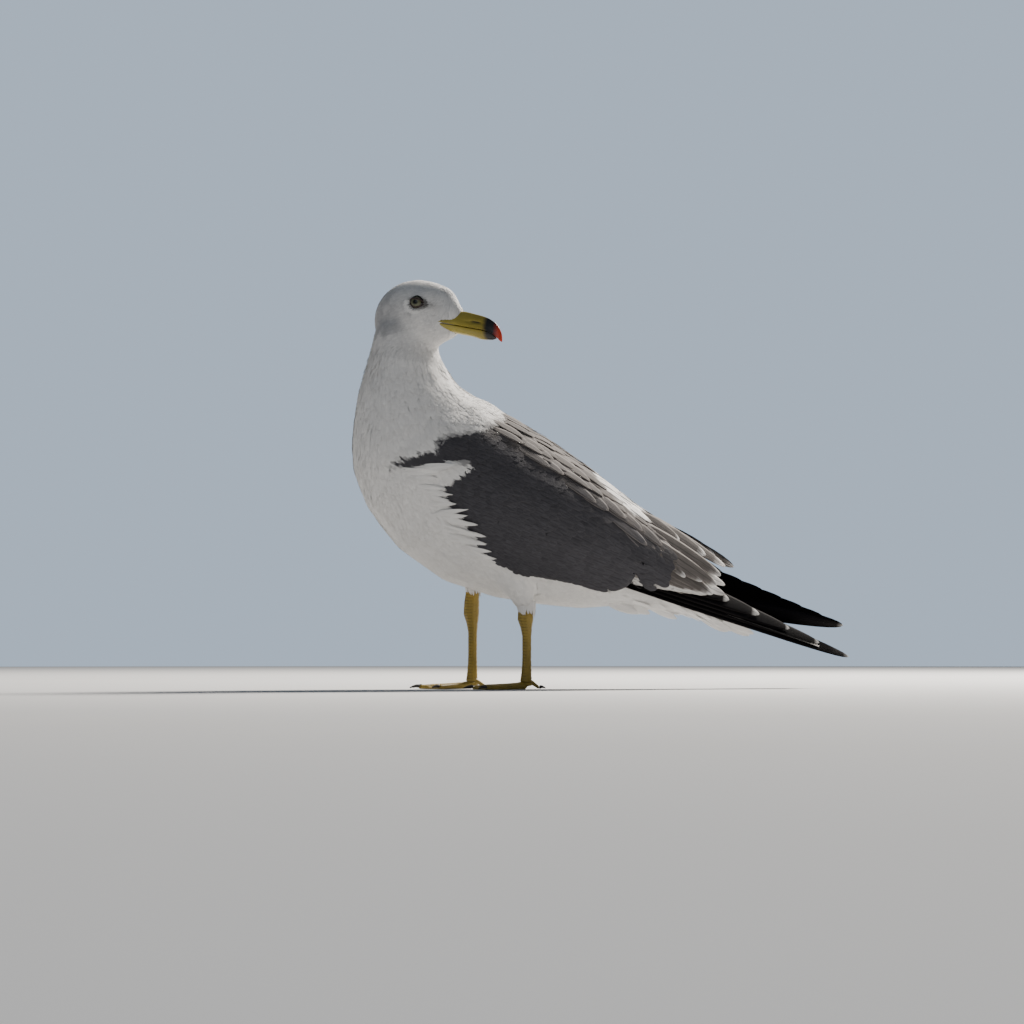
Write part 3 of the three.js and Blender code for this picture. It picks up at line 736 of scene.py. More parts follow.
# ---------- Wing and mantle feathers ----------
# Slate vanes cover the back and the folded wings: small on the wrist and the mantle, and long and
# pointed on the shoulder, where their worn edges are paler. Each is set in the skin by its quill.
WING_PARTS = SKIN_PARTS + ["wing_left_tertials", "wing_right_tertials"]
wing_form = smooth_form("wing_form", WING_PARTS, SKIN_GRID, 16)
wing_surface = Surface(wing_form)
bpy.data.objects.remove(wing_form)
WING_LINE = (((-120, 0, 190), (70, 0, 90)), -30, 240)
VANE_ALONG = np.array([0, 0.16, 0.34, 0.54, 0.72, 0.87, 0.96, 1.0])
VANE_ACROSS = np.array([-1, -0.55, 0, 0.55, 1.0])
BODY_OUTLINE = np.array([0.3, 0.66, 0.9, 1.0, 0.97, 0.78, 0.45, 0.02])
POINTED_OUTLINE = np.array([0.3, 0.7, 0.95, 1.0, 0.84, 0.55, 0.27, 0.02])


def walk(roots, ways, lengths):
    """Carries lines over the wing from their roots, which turn with the coat. Gives their places and
    the outward directions there."""
    path = [wing_surface.lay(roots)]
    for step in np.diff(VANE_ALONG):
        places, normals = path[-1]
        flat_ways = unit(ways - normals * (ways * normals).sum(1, keepdims=True))
        path.append(wing_surface.lay(places + flat_ways * (lengths * step)[:, None]))
        ways = unit(between(ways, lie_of_coat(*path[-1]), 0.5))
    return (np.stack(rows, 1) for rows in zip(*path))


def vane_faces(rows, columns):
    """Faces of one vane: its top, its underside over the keel, and both closed ends."""
    top = [
        (r * columns + c, r * columns + c + 1, (r + 1) * columns + c + 1, (r + 1) * columns + c)
        for r in range(rows - 1)
        for c in range(columns - 1)
    ]
    keel = rows * columns
    under = []
    for r in range(rows - 1):
        left, right = r * columns, r * columns + columns - 1
        under.append((right, keel + r, keel + r + 1, right + columns))
        under.append((keel + r, left, left + columns, keel + r + 1))
    ends = [(c, keel, c + 1) for c in range(columns - 1)]
    last = (rows - 1) * columns
    ends += [(last + c, last + c + 1, keel + rows - 1) for c in range(columns - 1)]
    return top + under, ends


def vane_piece(name, path, ups, half, outline, colours, material, slot, patches, arch=0.14,
               thick=0.3, soft=0.35, across=VANE_ACROSS, fringe=1.0, replaced=()):
    """A joined piece of closed feathers along paths: a top of several columns over a single keel.
    colours fit its feathers, rows and columns."""
    count, rows = path.shape[:2]
    columns = len(across)
    corners = rows * columns + rows
    s = np.broadcast_to(across, (count, rows, columns))
    wide = (half[:, None] * outline)[:, :, None]
    side = unit(np.cross(unit(np.gradient(path, axis=1)), ups))
    top = path[:, :, None] + side[:, :, None] * (s * wide)[..., None]
    top = top - ups[:, :, None] * (s**2 * wide * arch)[..., None]
    places = np.concatenate([top.reshape(count, -1, 3), path - ups * thick], 1)
    faces = [on_each(kind, corners, count) for kind in vane_faces(rows, columns)]
    piece = closed_piece(name, places.reshape(-1, 3), faces, material, slot, replaced)
    colours = np.broadcast_to(colours, (count, rows, columns, 3))
    colours = np.concatenate([colours.reshape(count, -1, 3), colours[:, :, columns // 2]], 1)
    paint_corners(piece, colours.reshape(-1, 3), np.repeat(np.broadcast_to(fringe, count), corners))
    number = np.repeat(np.arange(count), corners)
    mark_corners(piece, "Feather", number)
    steps = np.linalg.norm(np.diff(path, axis=1), axis=2)
    run = np.concatenate([np.zeros((count, 1)), np.cumsum(steps, 1)], 1)[:, :, None]

    def flat(top, keel):
        """One row of values for each feather: of its top and then of its keel."""
        return np.concatenate([np.broadcast_to(top, s.shape).reshape(count, -1), keel[..., 0]], 1).ravel()

    u, v = flat(s, 0 * run), flat(run / run[:, -1:], run / run[:, -1:])
    left = run - run[:, -1:]
    set_map(piece, "OFBake", patches(u, v, number))
    set_map(piece, "Vane", np.stack([flat(s * wide, 0 * run), flat(left, left)], 1) * 0.1)
    set_map(piece, "Quill", np.stack([u, v], 1))
    soften(piece, np.concatenate([np.repeat(ups, columns, 1), ups], 1).reshape(-1, 3), soft)


def root_patches(line, roots, size=0.003):
    """Small patches of a feather map, each at its root's place, spread to the map's margins."""
    centres = fill_map(round_unwrap(*line)(roots))
    return lambda s, t, which: centres[which] + np.stack([s * 0.48, t - 0.5], 1) * size


def strip_patches(count):
    """Feather maps laid side by side as strips."""
    return lambda s, t, which: np.stack([(which + 0.5 + s * 0.45) / count, 0.02 + 0.96 * t], 1)


# Flight and covert feathers are firmer and closer-barbed, with a slight gloss. The shaft is a
# fine dark line, 0.5 mm across, and worn edges are paler.
def vane_material(name, roughness, fringe, shaft, gloss):
    paint, base, vane = feather_paint(name, roughness, 0.0, 0.06)
    x, along = paint.axes(paint.add("UVMap", {"uv_map": "Quill"}))
    side = paint.sum("ABSOLUTE", x)
    worn = paint.sum("MAXIMUM", paint.level(side, From_Min=0.78), paint.level(along, From_Min=0.9))
    line = paint.level(side, 1.0, 0.0, From_Min=0.03, From_Max=0.09)
    # worn barbs lie in streaks about 1 mm wide and 10 mm long, other ones on each feather
    x, y = paint.axes(vane)
    number = paint.sum("MULTIPLY", paint.read("Feather"), 3.7)
    spot = paint.add("CombineXYZ", X=x, Y=paint.sum("MULTIPLY", y, 0.1), Z=number)
    streaks = paint.add("TexNoise", Vector=spot, Scale=10.0, Detail=2.0)
    streaked = paint.scaled(base, paint.level(streaks, 0.8, 1.22, From_Min=0.3, From_Max=0.7))
    pale = paint.mix(paint.sum("MULTIPLY", worn, paint.read("Plumage", "Alpha")), streaked, fringe)
    dark = paint.mix(paint.sum("MULTIPLY", line, 0.6), pale, shaft)
    return paint.finish(Base_Color=dark, Specular_IOR_Level=gloss)


slate_vane = vane_material("slate_vane", 0.75, "#8d8682", "#2b2a2e", 0.16)


def wing_sizes(places):
    """Length and half width of the slate feathers, small at the wrist and long on the shoulder, and
    the share of the shoulder."""
    x, z = side_view(places)
    down = (205 - z) - 0.55 * (x + 10)  # below the line of the shoulder feathers
    shoulder = soft_step(26, 4, down) * soft_step(-30, 30, x)
    rear = soft_step(0, 80, x)
    near_edge = 0.55 + 0.45 * soft_step(2, 16, wing_reach(places))
    length = (10 + 7 * rear + 12 * shoulder) * near_edge
    half = (3.1 + 1.6 * rear + 0.9 * shoulder) * near_edge
    return length, half, shoulder


def on_shoulder(places):
    x, _ = side_view(places)
    above = below_shoulder(places) < 12 + 9 * soft_step(10, 60, x) + 6 * mottle(places, 16, 14)
    return above & (wing_reach(places) > 6) & (x > -24) & (x < 108)


def on_slate(places):
    """Where slate feathers grow: inside the wing's edge and ahead of the flight feathers."""
    x, _, z = places.T
    ahead = (x > -148) & (x < 32 + 8 * soft_step(98, 125, z))
    return (wing_reach(places) > 0.2) & ahead & (z > 76 + 7 * soft_step(-6, 12, x))


def grow(maker, roots, sizes, long, wide, turn):
    """Paths over the wing for feathers of uneven length, width and lie. Gives them with the
    directions away from the wing, the half widths and the third of the sizes."""
    length, half, share = sizes(roots)
    length = length * maker.uniform(*long, len(roots))
    half = half * maker.uniform(*wide, len(roots))
    _, normals = wing_surface.lay(roots)
    ways = turned(lie_of_coat(roots, normals), normals, maker.normal(0, turn, len(roots)))
    path, ups = walk(roots, ways, length)
    return path, ups, half, share


def slate_colours(path, further, tone):
    """The bird's colours along each feather, each feather with a tone of its own."""
    colours = markings(path.reshape(-1, 3), further).reshape(path.shape) * tone[:, None, None]
    return np.clip(colours, 0.01, 0.9)[:, :, None]


ROW_WAY = (0.9, 0, -0.43)
slate_roots = wing_surface.scatter(lambda p: wing_sizes(p)[1] * 0.86, 31, on_slate, (ROW_WAY, 1.7))
for name, where, seed in (
    ("wing_coverts_left", lambda p: p[:, 1] < -14, 41),
    ("wing_coverts_right", lambda p: p[:, 1] > 16, 42),
    ("mantle_feathers", lambda p: (p[:, 1] >= -14) & (p[:, 1] <= 16), 43),
):
    maker = np.random.default_rng(seed)
    roots, _ = wing_surface.lay(slate_roots[where(slate_roots)])
    path, ups, half, shoulder = grow(maker, roots, wing_sizes, (0.88, 1.14), (0.9, 1.1), 0.08)
    lift = 0.3 * maker.uniform(0.7, 1.3, len(roots)) - 0.8 * on_shoulder(roots)
    heights = -0.9 * (1 - VANE_ALONG) ** 1.2 + lift[:, None] * VANE_ALONG**1.5
    flat_path = path.reshape(-1, 3)
    x, y, z = flat_path.T
    over = (1.6 * under_edge(flat_path) - 1.15) * soft_step(14, 5, wing_reach(flat_path)) * (x < 0)
    # the last rows lie over the flight feathers
    over += 2.5 * soft_step(-8, 20, x) * soft_step(112, 98, z)
    over += 3.0 * bump_at(flat_path, (16, y.mean(), 84), (10, 60, 12))
    path = path + ups * (heights + over.reshape(heights.shape))[:, :, None]
    tone = 1 + 0.05 * maker.normal(0, 1, len(roots))
    vane_piece(
        name, path, ups, half, BODY_OUTLINE * 0.5 + POINTED_OUTLINE * 0.5,
        slate_colours(path, 4.0, tone), slate_vane, "grey_plumage", root_patches(WING_LINE, roots),
        arch=0.05, thick=0.22, soft=0.84, fringe=0.05 + 0.15 * shoulder,
    )


# ---------- Thigh cuffs ----------
# The lowest feathers of each thigh hang loose round the top of the bare shank. They are set in the
# skin of the thigh by their quills.
maker = np.random.default_rng(15)
paths, ups, halves = [], [], []
t = VANE_ALONG[:, None]
for name in ("left", "right"):
    shank = read_rows(bpy.data.objects[f"shank_{name}"], "co") / MM
    bottom = shank[:, 2].max() - 1
    ring = shank[shank[:, 2] > bottom - 1]
    middle = (ring.max(0) + ring.min(0)) / 2
    wide = (ring.max(0) - ring.min(0)) / 2 + 1.1
    for turn in np.linspace(0, 2 * math.pi, 40, endpoint=False) + maker.uniform(-0.1, 0.1, 40):
        way = np.array([*turn_pair(turn), 0])
        low = bottom - maker.uniform(0.5, 4.5) - 1.5 * (way[0] > 0.6)
        path = middle + way * wide * (1.08 - 0.22 * t**2) + np.array([0.9, 0, 0]) * t
        path[:, 2] = between(bottom + 7, low, VANE_ALONG)
        paths.append(path)
        ups.append(np.repeat(way[None], len(VANE_ALONG), 0))
        halves.append(maker.uniform(0.8, 1.3))
vane_piece(
    "thigh_cuffs", np.array(paths), np.array(ups), np.array(halves), POINTED_OUTLINE,
    WHITE * maker.uniform(0.9, 1.0, (len(paths), 1, 1, 1)), soft_feather, "white_plumage",
    strip_patches(len(paths)), arch=0.2, thick=0.2, soft=0.7,
)


# ---------- Shoulder feathers ----------
# Long narrow vanes that fall from the shoulder over the back of the wing, with pale worn edges and
# drooping points. The last of them end in the white crescent. They are set in the skin by their
# quills.
SHOULDER_OUTLINE = np.array([0.35, 0.68, 0.92, 1.0, 0.9, 0.66, 0.36, 0.02])


def shoulder_sizes(places):
    rear = soft_step(-10, 80, side_view(places)[0])
    return 23 + 16 * rear, 3.7 + 1.3 * rear, rear


shoulder_roots = wing_surface.scatter(lambda p: np.full(len(p), 4.2), 71, on_shoulder, (ROW_WAY, 2.5))
for name, side, seed in (("shoulder_feathers_left", -1, 72), ("shoulder_feathers_right", 1, 73)):
    maker = np.random.default_rng(seed)
    own_side = (shoulder_roots[:, 1] - BODY_SHIFT[1]) * side > 0
    roots, _ = wing_surface.lay(shoulder_roots[own_side])
    path, ups, half, _ = grow(maker, roots, shoulder_sizes, (0.85, 1.25), (0.85, 1.15), 0.07)
    droop = np.outer(maker.uniform(0.5, 4.4, len(roots)), VANE_ALONG**2.6)
    path = path + np.array([0.1, 0, -1.0]) * droop[:, :, None]
    path = wing_surface.lay(path.reshape(-1, 3))[0].reshape(path.shape)
    lift = maker.uniform(0.8, 1.7, len(roots))[:, None] * np.clip(VANE_ALONG * 1.5, 0, 1) ** 1.2
    path = path + ups * (lift - 0.3 * (1 - VANE_ALONG) ** 1.4)[:, :, None]
    tone = 1 + 0.13 * maker.normal(0, 1, len(roots))
    vane_piece(
        name, path, ups, half, SHOULDER_OUTLINE, slate_colours(path, 0.0, tone), slate_vane,
        "grey_plumage", root_patches(WING_LINE, roots), arch=0.06, thick=0.22, soft=0.55,
        fringe=maker.uniform(0.35, 0.9, len(roots)),
    )


# ---------- Flank plumes ----------
# Long loose white feathers from the side of the breast lie back over the front of the folded wing,
# and their barbs gather in tapered wisps. They are set in the skin by their quills.
LOCKS = [  # tip lengthways and height, rise towards the tip, length, and half spread at the root
    (-46, 167.5, 0.14, 36, 3.0), (-51, 164.5, 0.12, 33, 3.0), (-56, 161.5, 0.04, 28, 2.8),
    (-60, 157.5, -0.04, 22, 2.4), (-54, 150.5, -0.05, 20, 1.8), (-46, 145, -0.12, 24, 1.7),
    (-47, 141, -0.16, 19, 1.5), (-42, 138, -0.1, 24, 1.7), (-35, 134, 0.1, 27, 1.8),
    (-37, 129, -0.05, 20, 1.6), (-29, 122.5, -0.16, 25, 2.0), (-21, 114, -0.2, 30, 2.3),
    (-20, 109, -0.16, 27, 2.0), (-17, 103, -0.24, 22, 1.8), (-11, 98, -0.26, 20, 1.6),
]


def seen_from(side, x, z):
    """Where a level line from one side of the bird meets it, or None."""
    return wing_surface.tree.ray_cast(Vector((x, side * 200, z)), Vector((0, -side, 0)))[0]


maker = np.random.default_rng(51)
paths, ups, halves = [], [], []
t = VANE_ALONG[:, None]
for side in (-1, 1):
    for tip_x, tip_z, rise, length, spread in LOCKS:
        tip_x, tip_z = tip_x + maker.uniform(-3, 2), tip_z + maker.uniform(-1, 1)
        rise = rise + maker.uniform(-0.07, 0.07)
        for strand in range(11):
            across = maker.uniform(-1, 1)
            long = length * maker.uniform(0.72, 1.06)
            tip = (tip_x + 1.5 - 1.6 * abs(across) - maker.uniform(0, 3), tip_z + 0.16 * spread * across)
            root = (tip_x - long, tip_z - rise * long + spread * across)
            bend = np.array([0.0, maker.normal(0, 0.5)])
            line = between(np.array(root), np.array(tip), t) + bend * 4 * t * (1 - t)
            places = np.array([seen_from(side, x + BODY_SHIFT[0], z) for x, z in line])
            found, up = wing_surface.lay(places)
            high = maker.uniform(0.5, 1.1)
            paths.append(found + up * (-0.6 + (high + 0.6) * np.clip(t * 2.2, 0, 1) ** 0.7))
            ups.append(up)
            halves.append(maker.uniform(0.8, 1.2))
paths = np.array(paths)
vane_piece(
    "flank_plumes", paths, np.array(ups), np.array(halves), POINTED_OUTLINE,
    WHITE * maker.uniform(0.88, 1.0, (len(paths), 1, 1, 1)), soft_feather, "white_plumage",
    root_patches((((-150, 0, 170), (-90, 0, 90)), -20, 130), paths[:, 0]),
    arch=0.1, thick=0.2, soft=0.85,
)


# ---------- Tertials, secondaries and primaries ----------
# The long feathers of each folded wing, fixed in the wing bones by their quills. The tertials and
# secondaries are slate with broad white tips, the primaries black with a small white spot.
LONG_ALONG = np.array([
    0, 0.1, 0.22, 0.34, 0.46, 0.58, 0.68, 0.77, 0.84, 0.9, 0.945, 0.975, 0.992, 1.0,
])
LONG_ACROSS = np.array([-1, -0.72, -0.36, 0, 0.36, 0.72, 1.0])
ROUND_TIP = np.array([
    0.3, 0.55, 0.78, 0.92, 1.0, 1.0, 0.98, 0.94, 0.88, 0.78, 0.64, 0.46, 0.26, 0.02,
])
NARROW_TIP = np.array([
    0.42, 0.62, 0.82, 0.95, 1.0, 0.98, 0.92, 0.84, 0.73, 0.6, 0.46, 0.32, 0.18, 0.02,
])
TERTIAL_TIP = ROUND_TIP * 0.25 + NARROW_TIP * 0.75


def curve_through(start, middle, end):
    """Places along a smooth curve through three places."""
    a, b, c = (np.array(place, float) for place in (start, middle, end))
    t = LONG_ALONG[:, None]
    return (1 - t) ** 2 * a + 2 * t * (1 - t) * (2 * b - 0.5 * (a + c)) + t**2 * c + BODY_SHIFT


def long_colours(base, tip, start, soft, slant=0.0):
    """Colours of one long feather: the base, then the tip's beyond a share of its length."""
    t = LONG_ALONG[:, None] + slant * np.abs(LONG_ACROSS)
    return between(base, tip, soft_step(start - soft, start + soft, t)[..., None])


def long_piece(name, paths, ups, halves, outline, colours, *look, **settings):
    vane_piece(
        name, np.array(paths), np.array(ups), np.array(halves, float), outline, np.array(colours),
        *look, strip_patches(len(paths)), across=LONG_ACROSS, **settings,
    )


wing_black = vane_material("black_flight_feather", 0.68, "#2e2a27", "#0c0b0b", 0.03)

TERTIALS = [  # root and tip on the side view, how far out they are lifted, and half width
    ((58, 104), (150, 76), 0.0, 6.0), ((60, 112), (159, 74), 0.4, 6.2), ((62, 120), (166, 72.5), 0.9, 6.4),
    ((62, 128), (156, 82), 1.4, 6.0), ((66, 133), (169, 79), 1.8, 6.2), ((72, 139), (173, 86), 2.2, 6.4),
    ((78, 144), (180, 93), 2.6, 6.4), ((90, 141), (161, 101), 2.8, 6.6),
    ((66, 140), (141, 85), 1.2, 5.8), ((92, 138), (138, 112), 2.8, 6.0),
]
SECONDARIES = [
    ((50 + 2 * i, 98), (112 + 10 * i, 79 - 1.25 * i), -1.0 + 0.16 * i, 6.6) for i in range(6)
]
HANGING = [
    ((60, 100), (171, 66), -0.3, 5.6), ((64, 106), (177, 72.5), 0.0, 5.8),
    ((68, 112), (182, 80), 0.2, 5.8),
]
LEAN = math.radians(35)  # of the folded primaries

for name, side, rise, primary_root, primary_tip in (
    ("left", -1, 3.0, (84, -30, 85), (284, -8, 26)),
    ("right", 1, 2.0, (84, 30, 84), (283, 6, 50.5)),
):
    maker = np.random.default_rng(61 + side)
    far = side > 0
    paths, ups, halves, colours = [], [], [], []
    t = LONG_ALONG[:, None]
    for rows, kind in ((SECONDARIES, "secondary"), (HANGING, "hanging"), (TERTIALS, "tertial")):
        for (x0, z0), (x1, z1), out, half in rows:
            # the far wing lies a little further back
            x1 = x1 + (16 if far else 0) * (0.5 if kind == "secondary" else 1.0)
            line = curve_through((x0, 0, z0), ((x0 + x1) / 2, 0, (z0 + z1) / 2 + 3), (x1, 0, z1))
            hits = [seen_from(side, x, z) for x, _, z in line]
            known = [k for k, hit in enumerate(hits) if hit is not None and abs(hit[1]) >= 2]
            places = line.copy()
            places[:, 1] = hits[known[-1]][1] - side * 0.10 * (np.arange(len(line)) - known[-1])
            places[known] = [hits[k] for k in known]
            # a quill is stiff, so its depth follows a smooth bow
            places[:, 1] = np.polyval(np.polyfit(LONG_ALONG, places[:, 1], 2), LONG_ALONG)
            up = unit(wing_surface.lay(places)[1] + (0, side * 1.2, 0.35))
            up = unit(between(up.mean(0), up, 0.4))
            lift = -3.2 * (1 - t) ** 1.3 + out * soft_step(0.1, 0.6, t) + 0.6 * t**1.5
            paths.append(places + up * lift)
            ups.append(up)
            halves.append(half)
            # the paler upper slate: partly real wear, partly painted light on the lit tops of the tertials
            base = WORN_AND_LIT_SLATE * maker.uniform(0.85, 1.15)
            starts = {"tertial": maker.uniform(0.955, 0.985), "hanging": 0.875, "secondary": 0.8}
            tint = long_colours(base, WHITE, starts[kind], 0.03, 0.025)
            if kind == "secondary":  # the lower edge is white as well
                edge = soft_step(0.0, 0.5, -side * LONG_ACROSS) * soft_step(0.4, 0.6, t)
                # the white edge is dimmed to 0.85 as painted shade under the tertials
                tint = between(tint, WHITE * 0.85, edge[..., None])
            colours.append(tint)
    long_piece(
        f"tertials_and_secondaries_{name}", paths, ups, halves, TERTIAL_TIP, colours, slate_vane,
        "grey_plumage", arch=0.10, thick=0.45, replaced=(f"wing_{name}_tertials",),
        fringe=maker.uniform(0.25, 0.6, len(paths)),
    )

    flat = np.array([0, side * math.cos(LEAN), math.sin(LEAN)])
    back, root_rise, tip_rise, widest = (16, 2.0, 3.5, 9.6) if far else (27, 3.1, 3.1, 7.6)
    paths, ups, halves, colours = [], [], [], []
    for i in np.arange(0, 7.5, 0.5) if far else range(6):
        start, end = np.array(primary_root, float), np.array(primary_tip, float)
        under = far and i % 1 > 0  # every other far feather shows only its edge
        end = end - unit(end - start) * (back * i + 9 * under) + (0, 0, tip_rise * i)
        start = start + (0, 0, root_rise * i)
        path = curve_through(start, (start + end) / 2 + (0, 0, rise), end)
        paths.append(path + flat * (0.55 * i - 2.6))
        ups.append(np.repeat(flat[None], len(path), 0))
        halves.append(widest + 0.35 * i)
        if far:
            spot = 1.2 if under or i > 6 else 0.993
        else:
            spot = (0.993, 0.986, 0.98, 0.972, 0.972, 0.972)[i]
        colours.append(long_colours(SOOT * maker.uniform(0.85, 1.15), WHITE * 0.85, spot, 0.005))
    long_piece(
        f"primaries_{name}", paths, ups, halves, NARROW_TIP, colours, wing_black, "black_plumage",
        arch=0.12, thick=0.5, replaced=(f"wing_{name}_primaries",), fringe=0.35,
    )


# ---------- Tail ----------
# Twelve broad feathers in a closed fan, white with a wide black band before a thin white edge. They
# are fixed in the tail bone under the rump.
tail_vane = vane_material("white_tail_feather", 0.6, "#d9d6d2", "#8a8782", 0.3)
tail_root, tail_tip = np.array([104, 0, 83.0]), np.array([260, 0, 34.0])
tail_way = unit(tail_tip - tail_root)
tail_up = np.array([-tail_way[2], 0, tail_way[0]])
paths = []
for across in (np.arange(12) - 5.5) / 5.5:
    raised = tail_up * (0.35 * 5.5 * (1 - abs(across)) - 1.4)
    start = tail_root + (0, 8 * across, 0) + raised
    end = tail_tip + (-3.5 * abs(across), 15 * across, 0) + raised
    paths.append(curve_through(start, (start + end) / 2 + (0, 1.5 * across, 0), end))
band = soft_step(0.5, 0.58, LONG_ALONG) * soft_step(0.985, 0.96, LONG_ALONG)
band = between(WHITE, SOOT, band[:, None])[None, :, None]
long_piece(
    "tail_feathers", paths, np.broadcast_to(tail_up, (12, len(LONG_ALONG), 3)), [7.6] * 12,
    ROUND_TIP, band, tail_vane, "white_plumage", arch=0.05, thick=0.5, replaced=("tail",),
    fringe=0.12,
)


# ---------- Under tail feathers ----------
# Loose white feathers under the root of the tail, whose soft points part from each other. They are
# set in the skin behind the vent.
maker = np.random.default_rng(91)
UNDER_LINE = np.array([(60, 66), (92, 62.5), (125, 61.5), (152, 57), (187, 47.5), (206, 43)], float).T
RAGGED_TIPS = [(114, 57.5), (122, 57), (147, 53), (187, 43.5), (204, 40.5)]
count, ragged = 60, 3 * len(RAGGED_TIPS)
across = maker.uniform(-1, 1, count)
start_x = 62 + 68 * np.sort(maker.uniform(0, 1, count))
end_x = start_x + 44 + 22 * maker.random(count) - 14 * np.abs(across)
stops = VANE_ALONG[None]
x = start_x[:, None] + (end_x - start_x)[:, None] * stops
sag = 1.2 + 2.2 * maker.random(count)
z = np.interp(x, *UNDER_LINE) + 3.0 * across[:, None] ** 2
z += 1.0 + 6.0 * (1 - stops) ** 1.5 - sag[:, None] * stops**3
y = across[:, None] * (17 - 4 * stops) + maker.normal(0, 0.8, count)[:, None] * stops
for k, (tip_x, tip_z) in enumerate(RAGGED_TIPS * 3):  # these hang clear of the rest
    share = VANE_ALONG**1.3
    end = tip_x + maker.uniform(-3.5, 1.5)
    x[k] = end - 26 * (1 - VANE_ALONG)
    z[k] = np.interp(x[k], *UNDER_LINE) + 2.5 * (1 - share)
    z[k] += (tip_z - np.interp(end, *UNDER_LINE) + maker.uniform(0, 1.6)) * share
    y[k] = -6 + maker.uniform(-5, 5) + 2 * VANE_ALONG
ups = unit(np.stack([np.full(count, -0.2), 0.55 * across, np.full(count, -1.0)], 1))
ups[:ragged] = unit(np.array([-0.1, -0.8, -0.6]))
colours = WHITE * (0.93 + 0.1 * maker.random(count))[:, None, None, None]
vane_piece(
    "under_tail_feathers", np.stack([x, y, z], -1) + BODY_SHIFT,
    np.repeat(ups[:, None], len(VANE_ALONG), 1), 2.6 + 1.6 * maker.random(count), SHOULDER_OUTLINE,
    colours, soft_feather, "white_plumage", strip_patches(count), arch=0.1, thick=0.25, soft=0.6,
)


# ---------- Bill ----------
# Two horn sheaths over the jaw bones, with a hooked tip and an angle under the lower one. Yellow,
# with a black band before the red point. The nostril is an open slit on each side, its inside painted
# near-black as painted shade.
UPPER_BILL = np.array([  # ahead of the middle of the head, top, bottom and half width
    (15, -0.3, -0.8, 13.0), (21, 1.6, -0.9, 11.6), (28, 5.0, -1.0, 10.4), (36, 8.2, -1.2, 9.0),
    (46, 9.6, -1.7, 6.7), (56, 8.9, -2.0, 5.4), (65, 7.9, -2.3, 4.7), (72, 6.2, -3.0, 4.0),
    (78.4, 2.8, -5.3, 3.1), (82.8, -2.4, -8.2, 2.0), (84.4, -8.0, -10.2, 0.8),
])
LOWER_BILL = np.array([
    (15, -0.8, -1.3, 12.6), (21, -0.9, -2.8, 11.2), (28, -1.0, -5.2, 10.0), (36, -1.2, -7.2, 8.5),
    (48, -1.7, -7.9, 5.8), (58, -2.0, -8.4, 4.8), (66, -2.3, -9.4, 4.0), (73, -3.1, -9.0, 3.0),
    (79.2, -6.0, -8.2, 1.2),
])
NOSTRIL = (59.5, 4.3, 2.7)


def smooth_rows(rows, shares):
    """Rows of numbers read along a smooth curve that passes through each of them."""
    x = np.clip(shares, 0, 1) * (len(rows) - 1)
    k = np.clip(x.astype(int), 0, len(rows) - 2)
    t = (x - k)[:, None]
    a, b = rows[k], rows[k + 1]
    m0 = (b - rows[np.maximum(k - 1, 0)]) / 2
    m1 = (rows[np.minimum(k + 2, len(rows) - 1)] - a) / 2
    line = (2 * t**3 - 3 * t**2 + 1) * a + (3 * t**2 - 2 * t**3) * b
    return line + (t**3 - 2 * t**2 + t) * m0 + (t**3 - t**2) * m1


def new_round(name, primitive, **settings):
    """A round primitive to be drawn out, and the places of its corners."""
    bpy.ops.object.select_all(action="DESELECT")
    primitive(**settings)
    bpy.context.object.name = name
    return bpy.context.object, read_rows(bpy.context.object, "co")


def finish_round(piece, places, material, slot, *replaced):
    """Moves a round piece's corners to their places and finishes it, smooth and facing outward."""
    move_corners(piece, places)
    edit_all(piece, bpy.ops.mesh.normals_make_consistent, inside=False)
    bpy.ops.object.shade_smooth()
    finish_piece(piece, material, slot, *replaced)


# Bill horn: keratin over bone, smooth with a waxy gloss and fine growth lines about 0.8 mm apart.
paint = Paint("bill_keratin")
cloud = paint.noise(3.5, 3.0)
ragged_reach = paint.sum("MULTIPLY_ADD", cloud, 2.0, paint.read("Reach"))
bands = paint.bands(
    paint.level(ragged_reach, From_Min=20.0, From_Max=84.0),
    (0.0, "#827830"), (0.38, "#a59536"), (0.75, "#98862f"), (0.79, "#5c4f20"),
    (0.815, "#171412"), (0.90, "#1c1311"), (0.93, "#7c2114"), (0.965, "#c23a1a"),
)
tinted = paint.scaled(bands, paint.level(cloud, 0.84, 1.14))
# the nostril slot is painted near-black, as painted shade inside its opening
bill_material = paint.finish(
    Base_Color=paint.mix(paint.read("nostril_shade"), tinted, "#14110c"),
    Normal=paint.bump(paint.noise(0.8, 1.0, Roughness=0.4), 0.25, 0.08),
    Roughness=paint.level(cloud, 0.3, 0.42), Coat_Weight=0.25, Coat_Roughness=0.2,
)
